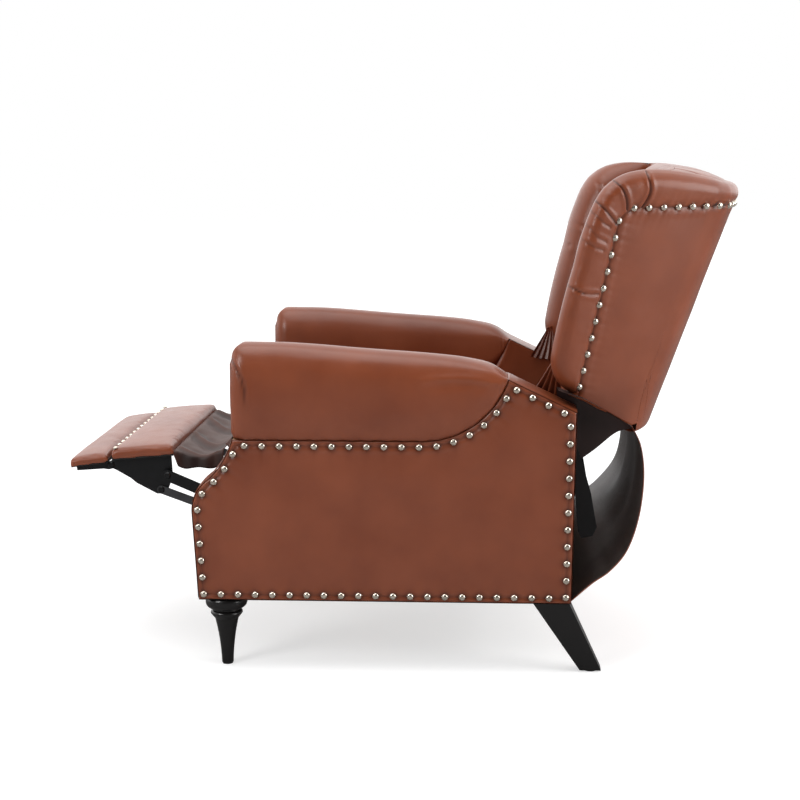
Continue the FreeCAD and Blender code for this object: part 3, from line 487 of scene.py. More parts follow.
FRONT_FOOT, REAR_FOOT, REAR_TOP = (-372, 140), (345, 140), (351, 511)
ROLL_FOOT, ROLL_END = (-301, 453.5), (222, 572.8)
SEAM_Z, SEAM_TURN, SEAM_RADIUS = 453.5, 56, 179.5
PANEL_X, PANEL_REAR_X, INNER_X, INNER_REAR_X = 338.0, 331.0, 255.4, 262.0
NAIL_IN = 11  # from the edge of the panel to the row of nails
front_edge = np.vstack([[FRONT_FOOT, (-381, 310)],
                        arc3((-381, 310), (-371, 352), (-347, 378))[1:],
                        arc3((-347, 378), (-318, 415), ROLL_FOOT)[1:]])
seam_half = math.asin((ROLL_END[0] - SEAM_TURN) / SEAM_RADIUS) / 2
seam_middle = (SEAM_TURN + SEAM_RADIUS * math.sin(seam_half),
               SEAM_Z + SEAM_RADIUS * (1 - math.cos(seam_half)))
seam_line = np.vstack([[ROLL_FOOT], arc3((SEAM_TURN, SEAM_Z), seam_middle, ROLL_END)])
top_edge = np.vstack([seam_line, [REAR_TOP]])
rear_edge = np.array([REAR_FOOT, REAR_TOP], float)
foot_edge = np.array([FRONT_FOOT, REAR_FOOT], float)
outline = np.vstack([front_edge, top_edge[1:], rear_edge[::-1][1:], foot_edge[::-1][1:]])

panel_u, panel_v = graded(240, 0.6), graded(150, 0.6)
panel = coons(foot_edge, top_edge, front_edge, rear_edge, panel_u, panel_v)
flat = panel.reshape(-1, 2)
rim = away(flat, outline)
at_nail = near_spots(flat, side_nail_yz)
puff = 2.2 * np.clip((rim - NAIL_IN) / 55, 0, 1) ** 0.7
swell = 1.1 * bump(rim - 5.5, 3.2) + 0.9 * bump(rim - 18, 5)
panel_x = (PANEL_X - round_in(rim, 4.5) + puff + swell * (1 - bump(at_nail, 8))
           - bump(rim - NAIL_IN, 3.5) - 0.9 * bump(at_nail, 7.5))
soft = np.column_stack([np.zeros(len(flat)), flat])
panel_x += 0.9 * ripple(soft, 0.012, 3.0) * np.clip(rim / 40, 0, 1)
# Painted shade: the leather is darkened round each nail, along the rim, along the nail row and in
# the grooves below the nails.
panel_painted_shade = 0.95 * bump(at_nail, 9.0) + 0.5 * bump(rim, 1.6) + 0.22 * bump(rim - NAIL_IN, 3)
for n in side_nail_yz:
    q = nearest(n, outline)
    inner = (n - q) / np.linalg.norm(n - q)
    deep = (flat - n) @ inner
    across = (flat - n) @ np.array([-inner[1], inner[0]])
    below_roll = n[1] > 330 and n[0] < 320
    force = 1.0 if below_roll else 0.35
    on = (deep > 0) * (deep < 60) * (np.abs(across) < 26) * force
    groove = np.exp(-(across / (3.6 + 0.1 * deep)) ** 2) * np.exp(-deep / 13.0)
    ridge = np.exp(-((np.abs(across) - 8.5) / 4.5) ** 2) * np.exp(-deep / 17.0)
    panel_x += on * (0.9 * ridge - 1.5 * groove)
    panel_painted_shade += on * 0.25 * groove
front_sheet = np.stack([panel_x.reshape(panel.shape[:2]), panel[..., 0], panel[..., 1]], -1)
rear_sheet = front_sheet.copy()
rear_sheet[..., 0] = PANEL_REAR_X
arm_end = outline[(outline[:, 0] > 100) & (outline[:, 1] > 470)]
at_seam, at_end = (np.exp(-(away(flat, line) / 45) ** 2) for line in (seam_line, arm_end))
inner_x = INNER_X - 4.6 * at_seam + 0.4 * ripple(soft, 0.02, 8.0) - 4.6 * at_end * (1 - at_seam)
fold_gap = away(flat, [(214, 566), (206, 540), (188, 505)])
inner_x += 1.8 * bump(fold_gap, 4) - 0.9 * bump(fold_gap - 9, 5)
# Painted shade in the fold near the rear end of the inner face.
inner_painted_shade = (0.5 * bump(fold_gap, 3)).reshape(panel.shape[:2])[::2, ::2]
inner_sheet = np.stack([inner_x.reshape(panel.shape[:2]), panel[..., 0], panel[..., 1]], -1)
inner_sheet = inner_sheet[::2, ::2]
inner_rear = inner_sheet.copy()
inner_rear[..., 0] = INNER_REAR_X
for side, turn in SIDES:
    o = two_sheets("outer_panel_cover_" + side, turn(front_sheet), turn(rear_sheet), hide, "base",
                   panel_painted_shade)
    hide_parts("outer_panel_" + side)
    o = two_sheets("inner_panel_cover_" + side, turn(inner_sheet), turn(inner_rear), hide, "base",
                   inner_painted_shade)
    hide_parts("inner_panel_" + side)


# Leather drawn round the front, the slope and the rear of each arm
def arm_wrap(name, line, lift, material, inner_edge=255.2, outer_edge=337.0):
    line = resample(line, 120)
    along = np.gradient(line, axis=0)
    along /= np.linalg.norm(along, axis=1)[:, None]
    out = np.stack([-along[:, 1], along[:, 0]], 1)
    arm_centre = np.array([0.0, 320.0])
    if (line[60] - arm_centre) @ out[60] < 0:
        out = -out
    across = np.linspace(0, 1, 25)
    grid = np.zeros((120, 25, 3))
    grid[..., 0] = inner_edge + (outer_edge - inner_edge) * across
    rise = 0.5 + lift * np.sin(math.pi * across) ** 0.6
    grid[..., 1:] = line[:, None] + out[:, None] * rise[None, :, None]
    for side, turn in SIDES:
        o = sheet_piece(name + "_" + side, turn(grid), material, "base")


arm_wrap("arm_front_cover", front_edge, 3.0, hide)
arm_wrap("arm_slope_cover", [(219, 572.5), ROLL_END, REAR_TOP], 2.0, hide, inner_edge=251.0)
arm_wrap("arm_rear_cover", rear_edge[::-1], 1.0, hide)
arm_wrap("arm_dust_cover", foot_edge, 0.3, dust_cloth)

# Rolled arm tops
ROLL_MID, ROLL_TALL, ROLL_WIDE = 300.5, 184.0, 51.0
ROLL_FRONT, ROLL_REAR = -274, 222
END_IN = 31.0  # how far the front end of the roll turns in
roll_section = curve([(338, 0.0), (345.5, 0.13), (350.5, 0.33), (351, 0.55), (345.5, 0.79),
                      (329, 0.945), (301, 1.0), (273, 0.955), (255.5, 0.80), (250, 0.58),
                      (249.6, 0.38), (250.2, 0.16), (250.8, 0.0)], 120)
roll_top_line = curve([(-266, 637), (-173, 635), (-55, 626), (87, 616), (150, 608), (190, 597),
                       (222, 574.5)], 200)
seam_dense = resample(seam_line, 400)


def roll_ring(y, turned_in=0.0):
    top = np.interp(y, roll_top_line[:, 0], roll_top_line[:, 1])
    low = np.interp(y, seam_dense[:, 0], seam_dense[:, 1])
    tall = max(top - low, 0.5)
    keep = min(1.0, tall / ROLL_TALL) ** 0.5
    x, h = roll_section[:, 0] - ROLL_MID, roll_section[:, 1]
    edge = PANEL_X - ROLL_MID
    x = x * np.where(x > edge, keep + (1 - keep) * edge / np.maximum(x, 1), 1.0)
    z = low + tall * h
    if turned_in:
        x = x * (1 - turned_in / ROLL_WIDE)
        z = np.minimum(z, low + tall - turned_in * np.clip(h * 1.15, 0, 1))
    return np.stack([ROLL_MID + x, np.full(len(x), float(y)), z], 1)


rings = []
for k in np.linspace(0, 1, 8)[:-1]:
    centre = np.array([ROLL_MID, -306.5, 530.0])
    ring = centre + (roll_ring(ROLL_FRONT, END_IN) - centre) * (0.02 + 0.98 * k)
    ring[:, 1] = -305.5 - 1.5 * (1 - k)
    ring[:, 2] = np.maximum(ring[:, 2], SEAM_Z + 0.1)
    rings.append(ring)
for a in np.radians(np.linspace(90, 0, 16)):
    ring = roll_ring(ROLL_FRONT, END_IN * (1 - math.cos(a)))
    h = np.clip((ring[:, 2] - SEAM_Z) / ROLL_TALL, 0, 1)
    reach = 27 + 4.5 * np.sin(math.pi * np.clip(h * 1.15, 0, 1))
    ring[:, 1] = ROLL_FRONT - reach * math.sin(a)
    rings.append(ring)
rings += [roll_ring(y) for y in np.linspace(ROLL_FRONT, ROLL_REAR, 190)[1:]]
roll = np.array(rings)
rp = roll.reshape(-1, 3)
low = np.interp(rp[:, 1], seam_dense[:, 0], seam_dense[:, 1])
top = np.interp(rp[:, 1], roll_top_line[:, 0], roll_top_line[:, 1])
height = rp[:, 2] - low
share = np.clip(height / np.maximum(top - low, 1), 0, 1)
outer = rp[:, 0] > 300
pucker = np.where(outer, 1.3, 0.2) * np.exp(-height / 18) * np.cos(TURN * rp[:, 1] / 33.0 + 1.2)
waves = (1.3 * ripple(rp * [1.0, 0.8, 1.6], 0.011, 9.0)
         + 0.45 * ripple(rp * [1.0, 0.5, 1.5], 0.035, 4.0))
out_x = np.where(outer, 1.0, -1.0) * (1 - share ** 4)
roll_yz = rp[:, 1:]
arc_gap = away(roll_yz, [(-300, 606), (-288, 590), (-277, 566), (-272, 548)])
rear_fold = away(roll_yz, curve([(62, 572), (120, 578), (165, 574), (204, 566)]))
rear_groove = away(roll_yz, curve([(70, 560), (125, 566), (168, 563), (206, 558)]))
fold = outer * (1.4 * bump(arc_gap - 7, 4.0) - 3.0 * bump(arc_gap, 2.8)
                + 2.4 * bump(rear_fold, 6.0) - 2.2 * bump(rear_groove, 4.0))
fold += 0.9 * bump(rp[:, 1] - 208, 9.0) * np.cos(TURN * rp[:, 1] / 7.5)
roll_shape = rp.copy()
roll_shape[:, 0] += out_x * (pucker + fold + waves * np.clip(height / 25, 0, 1)
                             - 1.5 * outer * np.exp(-height / 3.0))
roll_shape[:, 2] += waves * share ** 2 * 0.8
# Painted shade low on the outer face along the seam and in the arc groove at the front.
roll_painted_shade = outer * (0.9 * np.exp(-height / 2.8) + 0.65 * bump(arc_gap, 2.2))
roll_faces = grid_faces(*roll.shape[:2], wrap=True)
for side, turn in SIDES:
    o = piece("arm_roll_cover_" + side, turn(roll_shape), roll_faces, hide, "base",
              painted_shade=roll_painted_shade)
    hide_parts("arm_roll_" + side)


# Back shell: a wall that follows the plan of the wings and the rear, with a padded rim

plan = curve([(0, 670.5), (50, 669), (100, 661), (150, 649.5), (186, 634), (210, 612), (228, 590),
              (249, 558), (270, 522.5), (303, 458), (337, 390.5), (377, 322.2)])
plan_len = np.concatenate([[0], np.cumsum(np.linalg.norm(np.diff(plan, axis=0), axis=1))])
plan_tan = np.gradient(resample(plan, 600), axis=0)
plan_tan /= np.linalg.norm(plan_tan, axis=1)[:, None]
RIM = 32.0  # radius with which the rim turns in


def plan_at(s):
    p = np.stack([np.interp(s, plan_len, plan[:, k]) for k in (0, 1)], -1)
    at = np.linspace(0, 1, len(plan_tan))
    t = np.stack([np.interp(s / plan_len[-1], at, plan_tan[:, k]) for k in (0, 1)], -1)
    t /= np.linalg.norm(t, axis=-1, keepdims=True)
    inward = np.stack([-t[..., 1], t[..., 0]], -1)
    outward = (inward * (p - [0, 420])).sum(-1, keepdims=True) > 0
    inward = np.where(outward, -inward, inward)
    return p, inward


def s_of(y, z):
    """Place along the plan of a side-view point on the wing's outer face."""
    ref = np.asarray(y, float) - LEAN * (np.asarray(z, float) - REF_Z)
    return np.interp(-ref, -plan[:, 1], plan_len)


def sz_of(yz):
    """The same places as pairs of plan length and height."""
    yz = np.asarray(yz, float)
    return np.stack([s_of(yz[:, 0], yz[:, 1]), yz[:, 1]], 1)


def turn_way(s):
    """Direction in plan in which the rim of the shell turns in: to the middle on the wings."""
    p, inward = plan_at(s)
    k = np.clip((p[..., 1] - 530) / 95, 0, 1)[..., None]
    k = k * k * (3 - 2 * k)
    way = (1 - k) * np.array([-1.0, 0.0]) + k * inward
    return way / np.linalg.norm(way, axis=-1, keepdims=True)


def rim_place(yz):
    """Places along the plan from which the rim turns in to reach the outline yz."""
    s = s_of(yz[:, 0], yz[:, 1])
    for _ in range(4):
        s = s_of(yz[:, 0] - RIM * turn_way(s)[:, 1], yz[:, 1])
    return np.stack([s, yz[:, 1]], 1)


front_yz = np.vstack([arc3((343, 537), (311, 568), (302, 615)),
                      arc3((302, 615), (317, 692), (341, 784))[1:],
                      curve([(341, 784), (352, 832), (367, 876), (380, 906), (395, 928),
                             (413, 943.5)])[4:]])
top_yz = np.vstack([curve([(413, 943.5), (433, 953.5), (458, 959.5), (487, 961.5), (527, 959),
                           (566, 953)]), [[604, 944]]])
rim_front = rim_place(front_yz)
rim_side = rim_place(top_yz)
rim_rear = np.array([[200, 938], [140, 934], [70, 932.5], [0, 932]], float)
rim_top = curve(np.vstack([rim_rear[::-1], rim_side[::-1][::6], rim_front[-1:]]), 300)
REAR_LOW, REAR_HIGH, WING_S = 452, 932.0, 200
bottom_line = np.vstack([[[0, REAR_LOW], [WING_S, REAR_LOW]],
                         sz_of([(489, 467), (463, 467), (442, 480), (423, 493), (371, 528),
                                (351, 536), (343, 537)])])
bottom_line = resample(bottom_line, 200)
shell_u = 1 - np.linspace(1, 0, 290) ** 1.5
shell_v = graded(240, 0.85)
half = coons(bottom_line, rim_top, [(0, REAR_LOW), (0, REAR_HIGH)], rim_front, shell_u, shell_v)
sz = half.reshape(-1, 2)
rim_line = np.vstack([rim_top, rim_front[::-1]])
d_rim = away(sz, rim_line)
seam_yz = arc3((424, 868), (391, 712), (354, 545))
seam_sz = np.vstack([sz_of(seam_yz)[::-1], sz_of([(436, 882), (455, 891)]), [[0, 891]]])
seam_gap = away(sz, seam_sz)
below = np.vstack([seam_sz, [[0, 300], [seam_sz[0, 0], 300]]])
in_band = ~inside(sz, below)
surface, inward = plan_at(sz[:, 0])
wall = np.stack([surface[:, 0], surface[:, 1] + LEAN * (sz[:, 1] - REF_Z), sz[:, 1]], 1)
share = d_rim / np.maximum(d_rim + seam_gap, 1e-6)
fullness = 2.5 + 5.0 * np.clip((sz[:, 0] - 180) / 60, 0, 1)
band_puff = np.where(in_band, fullness * np.sin(math.pi * np.clip(share, 0, 1)) ** 0.8, 0.0)
back_yz = wall[:, 1:]
wall_nail = near_spots(wall, back_nail_at[back_nail_at[:, 0] >= -1])

pleats = [([(405, 950), (425, 929), (434, 908), (438, 889)], 3.6, 2.3),
          ([(474, 958), (479, 923), (468, 893)], 3.2, 2.3),
          ([(374, 912), (406, 876), (418, 862)], 3.0, 2.2),
          ([(366, 893), (389, 868), (404, 858)], 1.5, 2.6),
          ([(361, 866), (378, 842), (398, 830)], 1.2, 2.6),
          ([(326, 751), (358, 735), (387, 731)], 2.6, 2.2),
          ([(352, 838), (374, 822), (392, 815)], 1.3, 2.4)]
groove = np.zeros(len(wall))
# Painted shade laid into each pleat.
pleat_painted_shade = np.zeros(len(wall))
for line, depth, width in pleats:
    gap = away(back_yz, curve(line))
    on = in_band & (surface[:, 0] > 215)
    groove += on * (-depth * bump(gap, width) + 0.45 * depth * bump(gap - 2.6 * width, 1.8 * width))
    pleat_painted_shade += on * 0.8 * bump(gap, width * 0.8) * min(1, depth / 3)
offset = (band_puff + groove - 1.8 * bump(seam_gap, 3.2)
          - 0.8 * bump(wall_nail, 7.0) + 0.8 * bump(seam_gap - 12, 7) * (1 - bump(wall_nail, 10)))
offset *= np.clip(d_rim / 6, 0, 1)
uneven_wall = ripple(wall, 0.013, 2.0) + 0.5 * in_band * ripple(wall, 0.04, 6.0)
offset += uneven_wall * np.clip(d_rim / 30, 0, 1)
wrinkle = in_band * (back_yz[:, 1] > 820) * (back_yz[:, 0] < 410) * bump(d_rim - 20, 18)
offset += 0.45 * wrinkle * np.sin(back_yz[:, 1] / 2.6 + back_yz[:, 0] / 7)
ROW_LEAN = 0.28  # of the row of nails down the wing
for n in back_nail_at[back_nail_at[:, 0] >= 215]:
    _, away_y, away_z = (wall - n).T
    if n[2] > 880:  # in the row along the top
        across, deep = away_y - LEAN * away_z, -away_z
    else:
        across, deep = away_z + ROW_LEAN * away_y, away_y - ROW_LEAN * away_z
    across = np.abs(across)
    beyond = (across < 24) * (deep > 0) * (deep < 55) * (surface[:, 0] > 200)
    offset += beyond * (0.8 * bump(across - 8, 4.5) * np.exp(-deep / 16)
                        - 1.2 * bump(across, 3.4 + 0.1 * deep) * np.exp(-deep / 12))
    ahead = (across < 24) * (deep < 0) * (deep > -45) * in_band
    offset += ahead * 0.8 * bump(across - 9, 5) * np.exp(deep / 14)
shell = wall.copy()
shell[:, :2] += turn_way(sz[:, 0]) * round_in(d_rim, RIM)[:, None]
shell[:, :2] -= inward * offset[:, None]
apex = shell.reshape(half.shape[0], half.shape[1], 3)
# Painted shade along the seam, round the nails and in the pleats.
shell_painted_shade = 0.5 * bump(seam_gap, 2.6) + 0.8 * bump(wall_nail, 8.6) + pleat_painted_shade
shell_painted_shade = np.clip(shell_painted_shade, 0, 1).reshape(half.shape[:2])

# The lower edge turns under
edge_in = inward.reshape(half.shape)[:1]
under = []
for reach, drop in ((34.0, -2.0), (14.0, -5.0), (4.0, -3.5), (1.0, -1.2)):
    ring = apex[:1].copy()
    ring[..., :2] += edge_in * reach
    ring[..., 2] += drop
    under.append(ring)
half_shell = np.vstack(under + [apex])
half_painted_shade = np.vstack([np.zeros((len(under), half.shape[1])), shell_painted_shade])
wing_start = np.argmin(np.abs(bottom_line[:, 0] - WING_S)) / len(bottom_line)
split = int(np.argmin(np.abs(shell_u - wing_start)))
wing_grid = half_shell[:, split:]
wing_painted_shade = half_painted_shade[:, split:]
rear_half, rear_half_painted_shade = half_shell[:, :split + 1], half_painted_shade[:, :split + 1]
rear_grid = np.concatenate([mirror(rear_half)[:, ::-1], rear_half[:, 1:]], 1)
rear_painted_shade = np.concatenate([rear_half_painted_shade[:, ::-1], rear_half_painted_shade[:, 1:]], 1)

# Inner face of a wing, from the rim to the corner with the inside back
BACK_HALF = 243.5  # half the width of the inside back
WING_IN_X = 246.0
rim_points = apex[-1]
front_points = apex[:, -1]
crest_join = int(np.argmin(np.abs(rim_points[:, 1] - 524) + 1e3 * (rim_points[:, 0] < 205)))
rim_over = rim_points[crest_join:][::-1]
inner_low = curve([front_points[0], (268, 352, 531), (245, 366, 518)])
join = rim_points[crest_join]
corner_z = np.linspace(518, join[2], 60)
corner_x = BACK_HALF + (join[0] - BACK_HALF) * np.clip((corner_z - 930) / 28, 0, 1) ** 2
corner_y = 500 + LEAN * (corner_z - REF_Z)
corner_y += (join[1] - corner_y) * np.clip((corner_z - 915) / 43, 0, 1) ** 2
corner_line = np.stack([corner_x, corner_y, corner_z], 1)
wing_u, wing_v = graded(130, 0.85), graded(200, 0.85)
wing_in = coons(inner_low, rim_over, front_points, corner_line, wing_u, wing_v)
wp = wing_in.reshape(-1, 3)
rim_yz = np.vstack([front_points[:, 1:], rim_over[:, 1:]])
wd = away(wp[:, 1:], rim_yz)
full = np.sqrt(np.clip(1 - (1 - np.clip(wd / 58, 0, 1)) ** 2, 0, 1))
to_corner = away(wp, corner_line)
inner_ripple = 1.2 * ripple(wp, 0.01, 12.0) + 0.3 * ripple(wp, 0.045, 5.0)
wp[:, 0] += (np.minimum(WING_IN_X, wp[:, 0]) - wp[:, 0]) * full + 4.0 * bump(to_corner, 14)
wing_folds = [([(318, 792), (334, 784), (352, 779)], 3.0, 3.6),
              ([(345, 838), (362, 830), (380, 822)], 1.4, 3.6),
              ([(395, 935), (420, 905), (450, 862)], 1.5, 4.0)]
for line, depth, width in wing_folds:
    gap = away(wp[:, 1:], curve(line))
    inner_ripple -= depth * bump(gap, width) - 0.4 * depth * bump(gap - 2.6 * width, 1.8 * width)
wp[:, 0] -= inner_ripple * np.clip(wd / 12, 0, 1) * np.clip(to_corner / 15, 0, 1)
wing_points = np.vstack([wing_grid.reshape(-1, 3), wp])
wing_faces = (grid_faces(*wing_grid.shape[:2])
              + grid_faces(*wing_in.shape[:2], start=wing_painted_shade.size))
wing_painted_shade = np.concatenate([wing_painted_shade.ravel(), np.zeros(len(wp))])
for side, turn in SIDES:
    o = piece("wing_cover_" + side, turn(wing_points), wing_faces, hide, "back", painted_shade=wing_painted_shade)
    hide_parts("wing_" + side)
o = sheet_piece("outer_back_cover", rear_grid, hide, "back", painted_shade=rear_painted_shade)
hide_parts("outer_back")

# Inside back: tufted, and rolled over the top
FACE_Y, FACE_SAG = 474.0, 22.0  # where the inside back meets its middle line, and its hollow
CREST_Z, ROW_PITCH, BUTTON_PITCH = 963.5, 88.0, 72.0
buttons = np.array([(x * BUTTON_PITCH, 560.0 + row * ROW_PITCH) for row in range(4)
                    for x in ((-2, 0, 2) if row % 2 == 0 else (-1, 1))])
face_x = np.linspace(-1, 1, 241)
crest_curve = curve([(0, 474), (0, 700), (0, 880), (1, 918), (6, 940), (18, 955), (40, 963.5)], 261)
face = np.zeros((261, 241, 3))
radius = ((2 * BACK_HALF) ** 2 / 4 + FACE_SAG ** 2) / (2 * FACE_SAG)
for i, (extra, z) in enumerate(crest_curve):
    x = face_x * (BACK_HALF + (join[0] - BACK_HALF) * np.clip((z - 930) / 30, 0, 1) ** 2)
    y = FACE_Y + radius - np.sqrt(radius ** 2 - np.clip(np.abs(x), 0, BACK_HALF) ** 2)
    y = y + LEAN * (min(z, 934) - REF_Z) + extra
    y = y + (join[1] - y) * np.clip((z - 920) / 43.5, 0, 1) * np.abs(face_x) ** 4
    z = z - (CREST_Z - join[2]) * np.abs(face_x) ** 3 * np.clip((z - 900) / 63.5, 0, 1)
    face[i] = np.stack([x, y, z], 1)
fp = face.reshape(-1, 3)
plane = fp[:, ::2].copy()
near_button = near_spots(plane, buttons)
tuft_folds = [(a, b) for i, a in enumerate(buttons) for b in buttons[i + 1:]
              if np.allclose(np.abs(a - b), (BUTTON_PITCH, ROW_PITCH))]
for x, z in buttons:
    if z > 800:
        tuft_folds.append([(x, z), (x * 1.02, z + 150)])
    if z < 600:
        tuft_folds.append([(x, z), (x, FACE_Y)])
    if abs(x) > 100:
        edge = math.copysign(BACK_HALF, x)
        tuft_folds += [[(x, z), (edge, z + ROW_PITCH)], [(x, z), (edge, z - 60)]]
fold_gap = away_all(plane, tuft_folds)
side_gap = BACK_HALF - np.abs(plane[:, 0])
height = plane[:, 1]
dip = (15.0 * np.exp(-(near_button / 17) ** 1.4) + 6.5 * np.exp(-(fold_gap / 7.5) ** 1.3)
       + 16.0 * np.exp(-np.clip(side_gap, 0, 400) / 9.0) * (height < 925)
       - 7.0 * (1 - bump(fold_gap, 26)))
dip += 1.2 * ripple(fp, 0.03, 8.0)
fade = np.where(height > 930, np.clip((963 - height) / 33, 0.12, 1), 1.0)
fp[:, 1] += dip * 0.94 * fade
fp[:, 2] -= dip * 0.34 * fade
# Painted shade round the buttons and in the tuft folds.
face_painted_shade = np.clip(0.75 * bump(near_button, 10) + 0.55 * bump(fold_gap, 3.5) * fade, 0, 1)
o = sheet_piece("tufted_back", face, hide, "back", painted_shade=face_painted_shade)
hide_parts("back_cushion")

# Padding over the top, between the inside back and the outer back
corner_index = int(np.argmin(np.abs(rim_points[:, 1] - 640) + 1e3 * (rim_points[:, 0] < 120)
                             + 1e3 * (rim_points[:, 0] > 215)))
side_right = rim_points[corner_index:crest_join + 1][::-1]
rear_line = np.concatenate([mirror(rim_points[:corner_index + 1])[::-1],
                            rim_points[1:corner_index + 1]])
crest_u, crest_v = np.linspace(0, 1, 241), np.linspace(0, 1, 90)
crest = coons(face[-1], rear_line, mirror(side_right), side_right, crest_u, crest_v)
cp = crest.reshape(-1, 3)
run = np.repeat(crest_v, 241)
full = np.sin(math.pi * np.tile(crest_u, 90)) ** 0.7 * np.sin(math.pi * run) ** 0.8
cp[:, 2] += 5.5 * full
top_gap = away_all(cp[:, :2], [[(-72, 500), (-66, 640)], [(72, 500), (66, 640)],
                               [(-152, 500), (-120, 640)], [(152, 500), (120, 640)],
                               [(205, 520), (216, 585)], [(-205, 520), (-216, 585)]])
cp[:, 2] -= 2.6 * bump(top_gap, 4.0) * (1 - run) ** 1.2
cp[:, 2] += ripple(cp, 0.02, 3.0) * full
# Painted shade in the grooves over the top, fading towards the rear.
o = sheet_piece("crest_padding", cp.reshape(crest.shape), hide, "back",
                painted_shade=0.5 * bump(top_gap, 3.0) * (1 - run) ** 1.5)
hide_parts("back_top_roll")

# Buttons
points, faces = [], []
normal = np.array([0, -1, LEAN]) / math.hypot(1, LEAN)
for x, z in buttons:
    y = FACE_Y + radius - math.sqrt(radius ** 2 - x * x) + LEAN * (z - REF_Z)
    dome(points, faces, np.array([x, y, z]) - normal * 12.5, normal, np.array([1.0, 0, 0]),
         11.0, 6.5, 8, 24, 0.8)
o = piece("covered_buttons", points, faces, hide, "back")
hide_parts("tuft_buttons")


# Cloth simulation for the stuffed pads

def inflate(obj, cap, voxel=0.006, pressure=4.0, steps=20):
    """Blows a closed mesh up as stitched leather, and never moves a point further than cap."""
    m = obj.modifiers.new("remesh", "REMESH")
    m.mode = "VOXEL"
    m.voxel_size = voxel
    bpy.context.view_layer.update()
    dg = bpy.context.evaluated_depsgraph_get()
    mesh = bpy.data.meshes.new_from_object(obj.evaluated_get(dg))
    obj.modifiers.clear()
    old = obj.data
    obj.data = mesh
    bpy.data.meshes.remove(old)
    rest = np.array([v.co for v in mesh.vertices], float)
    c = obj.modifiers.new("cloth", "CLOTH")
    for key, value in {"quality": 5, "tension_stiffness": 20, "compression_stiffness": 20,
                       "shear_stiffness": 8, "bending_stiffness": 0.8, "use_pressure": True,
                       "uniform_pressure_force": pressure}.items():
        setattr(c.settings, key, value)
    c.settings.effector_weights.gravity = 0
    c.point_cache.frame_start, c.point_cache.frame_end = 1, steps
    for step in range(1, steps + 1):
        scene.frame_set(step)
    dg = bpy.context.evaluated_depsgraph_get()
    done = obj.evaluated_get(dg).to_mesh()
    now = np.array([v.co for v in done.vertices], float)
    obj.evaluated_get(dg).to_mesh_clear()
    obj.modifiers.clear()
    scene.frame_set(1)
    move = now - rest
    far = np.linalg.norm(move, axis=1)
    move *= np.minimum(1, cap * 0.001 / np.maximum(far, 1e-9))[:, None]
    mesh.vertices.foreach_set("co", (rest + move).astype(np.float32).ravel())
    shade_smooth(mesh)


def keep_within(obj, low, high):
    """Flattens whatever of a mesh lies outside a box."""
    co = np.clip(from_frame([v.co for v in obj.data.vertices]), low, high)
    obj.data.vertices.foreach_set("co", to_frame(co).astype(np.float32).ravel())
    obj.data.update()


def subdivide(obj):
    m = obj.modifiers.new("smooth", "SUBSURF")
    m.levels = m.render_levels = 1


def pad_block(name, side, length, low, high, place, body, crown, r=6.0):
    """A stuffed block, rounded and crowned. place turns across, along and up into X, Y, Z."""
    nu, nv = 90, 60
    x, f = np.meshgrid((graded(nu, 0.6) * 2 - 1) * side, graded(nv, 0.6) * length)
    edge = round_in(side - np.abs(x), r) + round_in(np.minimum(f, length - f), r)
    swell = crown * (1 - (x / side) ** 2) ** 0.6 * (1 - (2 * f / length - 1) ** 2) ** 0.6
    top = np.stack(place(x, f, np.maximum(high - edge + swell, (low + high) / 2)), -1)
    base = np.stack(place(x, f, np.full(x.shape, low)), -1)
    return two_sheets(name, top, base, hide, body)


# Seat cushion
seat = pad_block("seat_cushion_cover", 241.0, 526.0, 424.6, 470.0,
                 lambda x, f, up: (x, -246.0 + f, up), "seat", 9.0, r=16.0)
inflate(seat, 10.0, voxel=0.006, pressure=4.0)
keep_within(seat, (-250.0, -256.0, 424.3), (250.0, 294.0, 484.5))
subdivide(seat)
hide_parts("seat_cushion")


# Seat border
border_x, border_v = np.linspace(-210, 210, 120), np.linspace(0, 1, 60)[:, None]
bulge = np.sin(math.pi * border_v)
border = np.zeros((60, 120, 3))
border[..., 0] = border_x
border[..., 1] = -236.5 - 2.5 * bulge - 1.2 * np.sin(border_x / 23.0) * bulge
border[..., 2] = 329 + 94.5 * border_v
behind = border.copy()
behind[..., 1] = -221
o = two_sheets("seat_border_cover", border, behind, hide, "seat")
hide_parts("seat_border")


# Slack sheets between the seat and the footrest
def hung(line, x):
    """A grid that follows a side-view line, with one column for each x."""
    grid = np.zeros((len(line), len(x), 3))
    grid[..., 0] = x
    grid[..., 1:] = line[:, None]
    return grid


apron_line = [(-238.5, 401.5), (-262, 396.5), (-292, 398.5), (-315, 410), (-331.5, 426.5)]
apron = hung(curve(apron_line, 60), np.linspace(-233, 233, 150))
ap = apron.reshape(-1, 3)
sag = np.sin(math.pi * np.repeat(np.linspace(0, 1, 60), 150))
ap[:, 2] += sag * (1.5 * np.sin(ap[:, 0] / 17 + ap[:, 1] / 30) + 3.0 * ripple(ap, 0.03, 14.0))
# The apron takes the darker copy of the leather, painted shade.
o = sheet_piece("seat_apron_cover", apron, shaded_hide, "seat", thick=1.5)
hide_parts("seat_apron")
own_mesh(o)


def pad_place(corner, tilt):
    t = math.radians(tilt)

    def place(x, f, up):
        return (x, corner[0] - f * math.cos(t) - up * math.sin(t),
                corner[1] - f * math.sin(t) + up * math.cos(t))
    return place


main_pad = pad_block("footrest_pad_cover", 244.0, 126.0, 0.6, 19.0,
                     pad_place((-433.0, 402.0), 4.9), "footrest", 9.5, r=9.0)
inflate(main_pad, 3.0, voxel=0.0045, pressure=3.0)
flip_pad = pad_block("flipper_pad_cover", 244.0, 77.0, 0.6, 15.0,
                     pad_place((-563.5, 387.5), 8.5), "flipper", 8.0, r=7.0)
inflate(flip_pad, 2.5, voxel=0.0045, pressure=3.0)
subdivide(main_pad)
subdivide(flip_pad)
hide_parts("ottoman_pad")
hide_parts("flipper_pad")

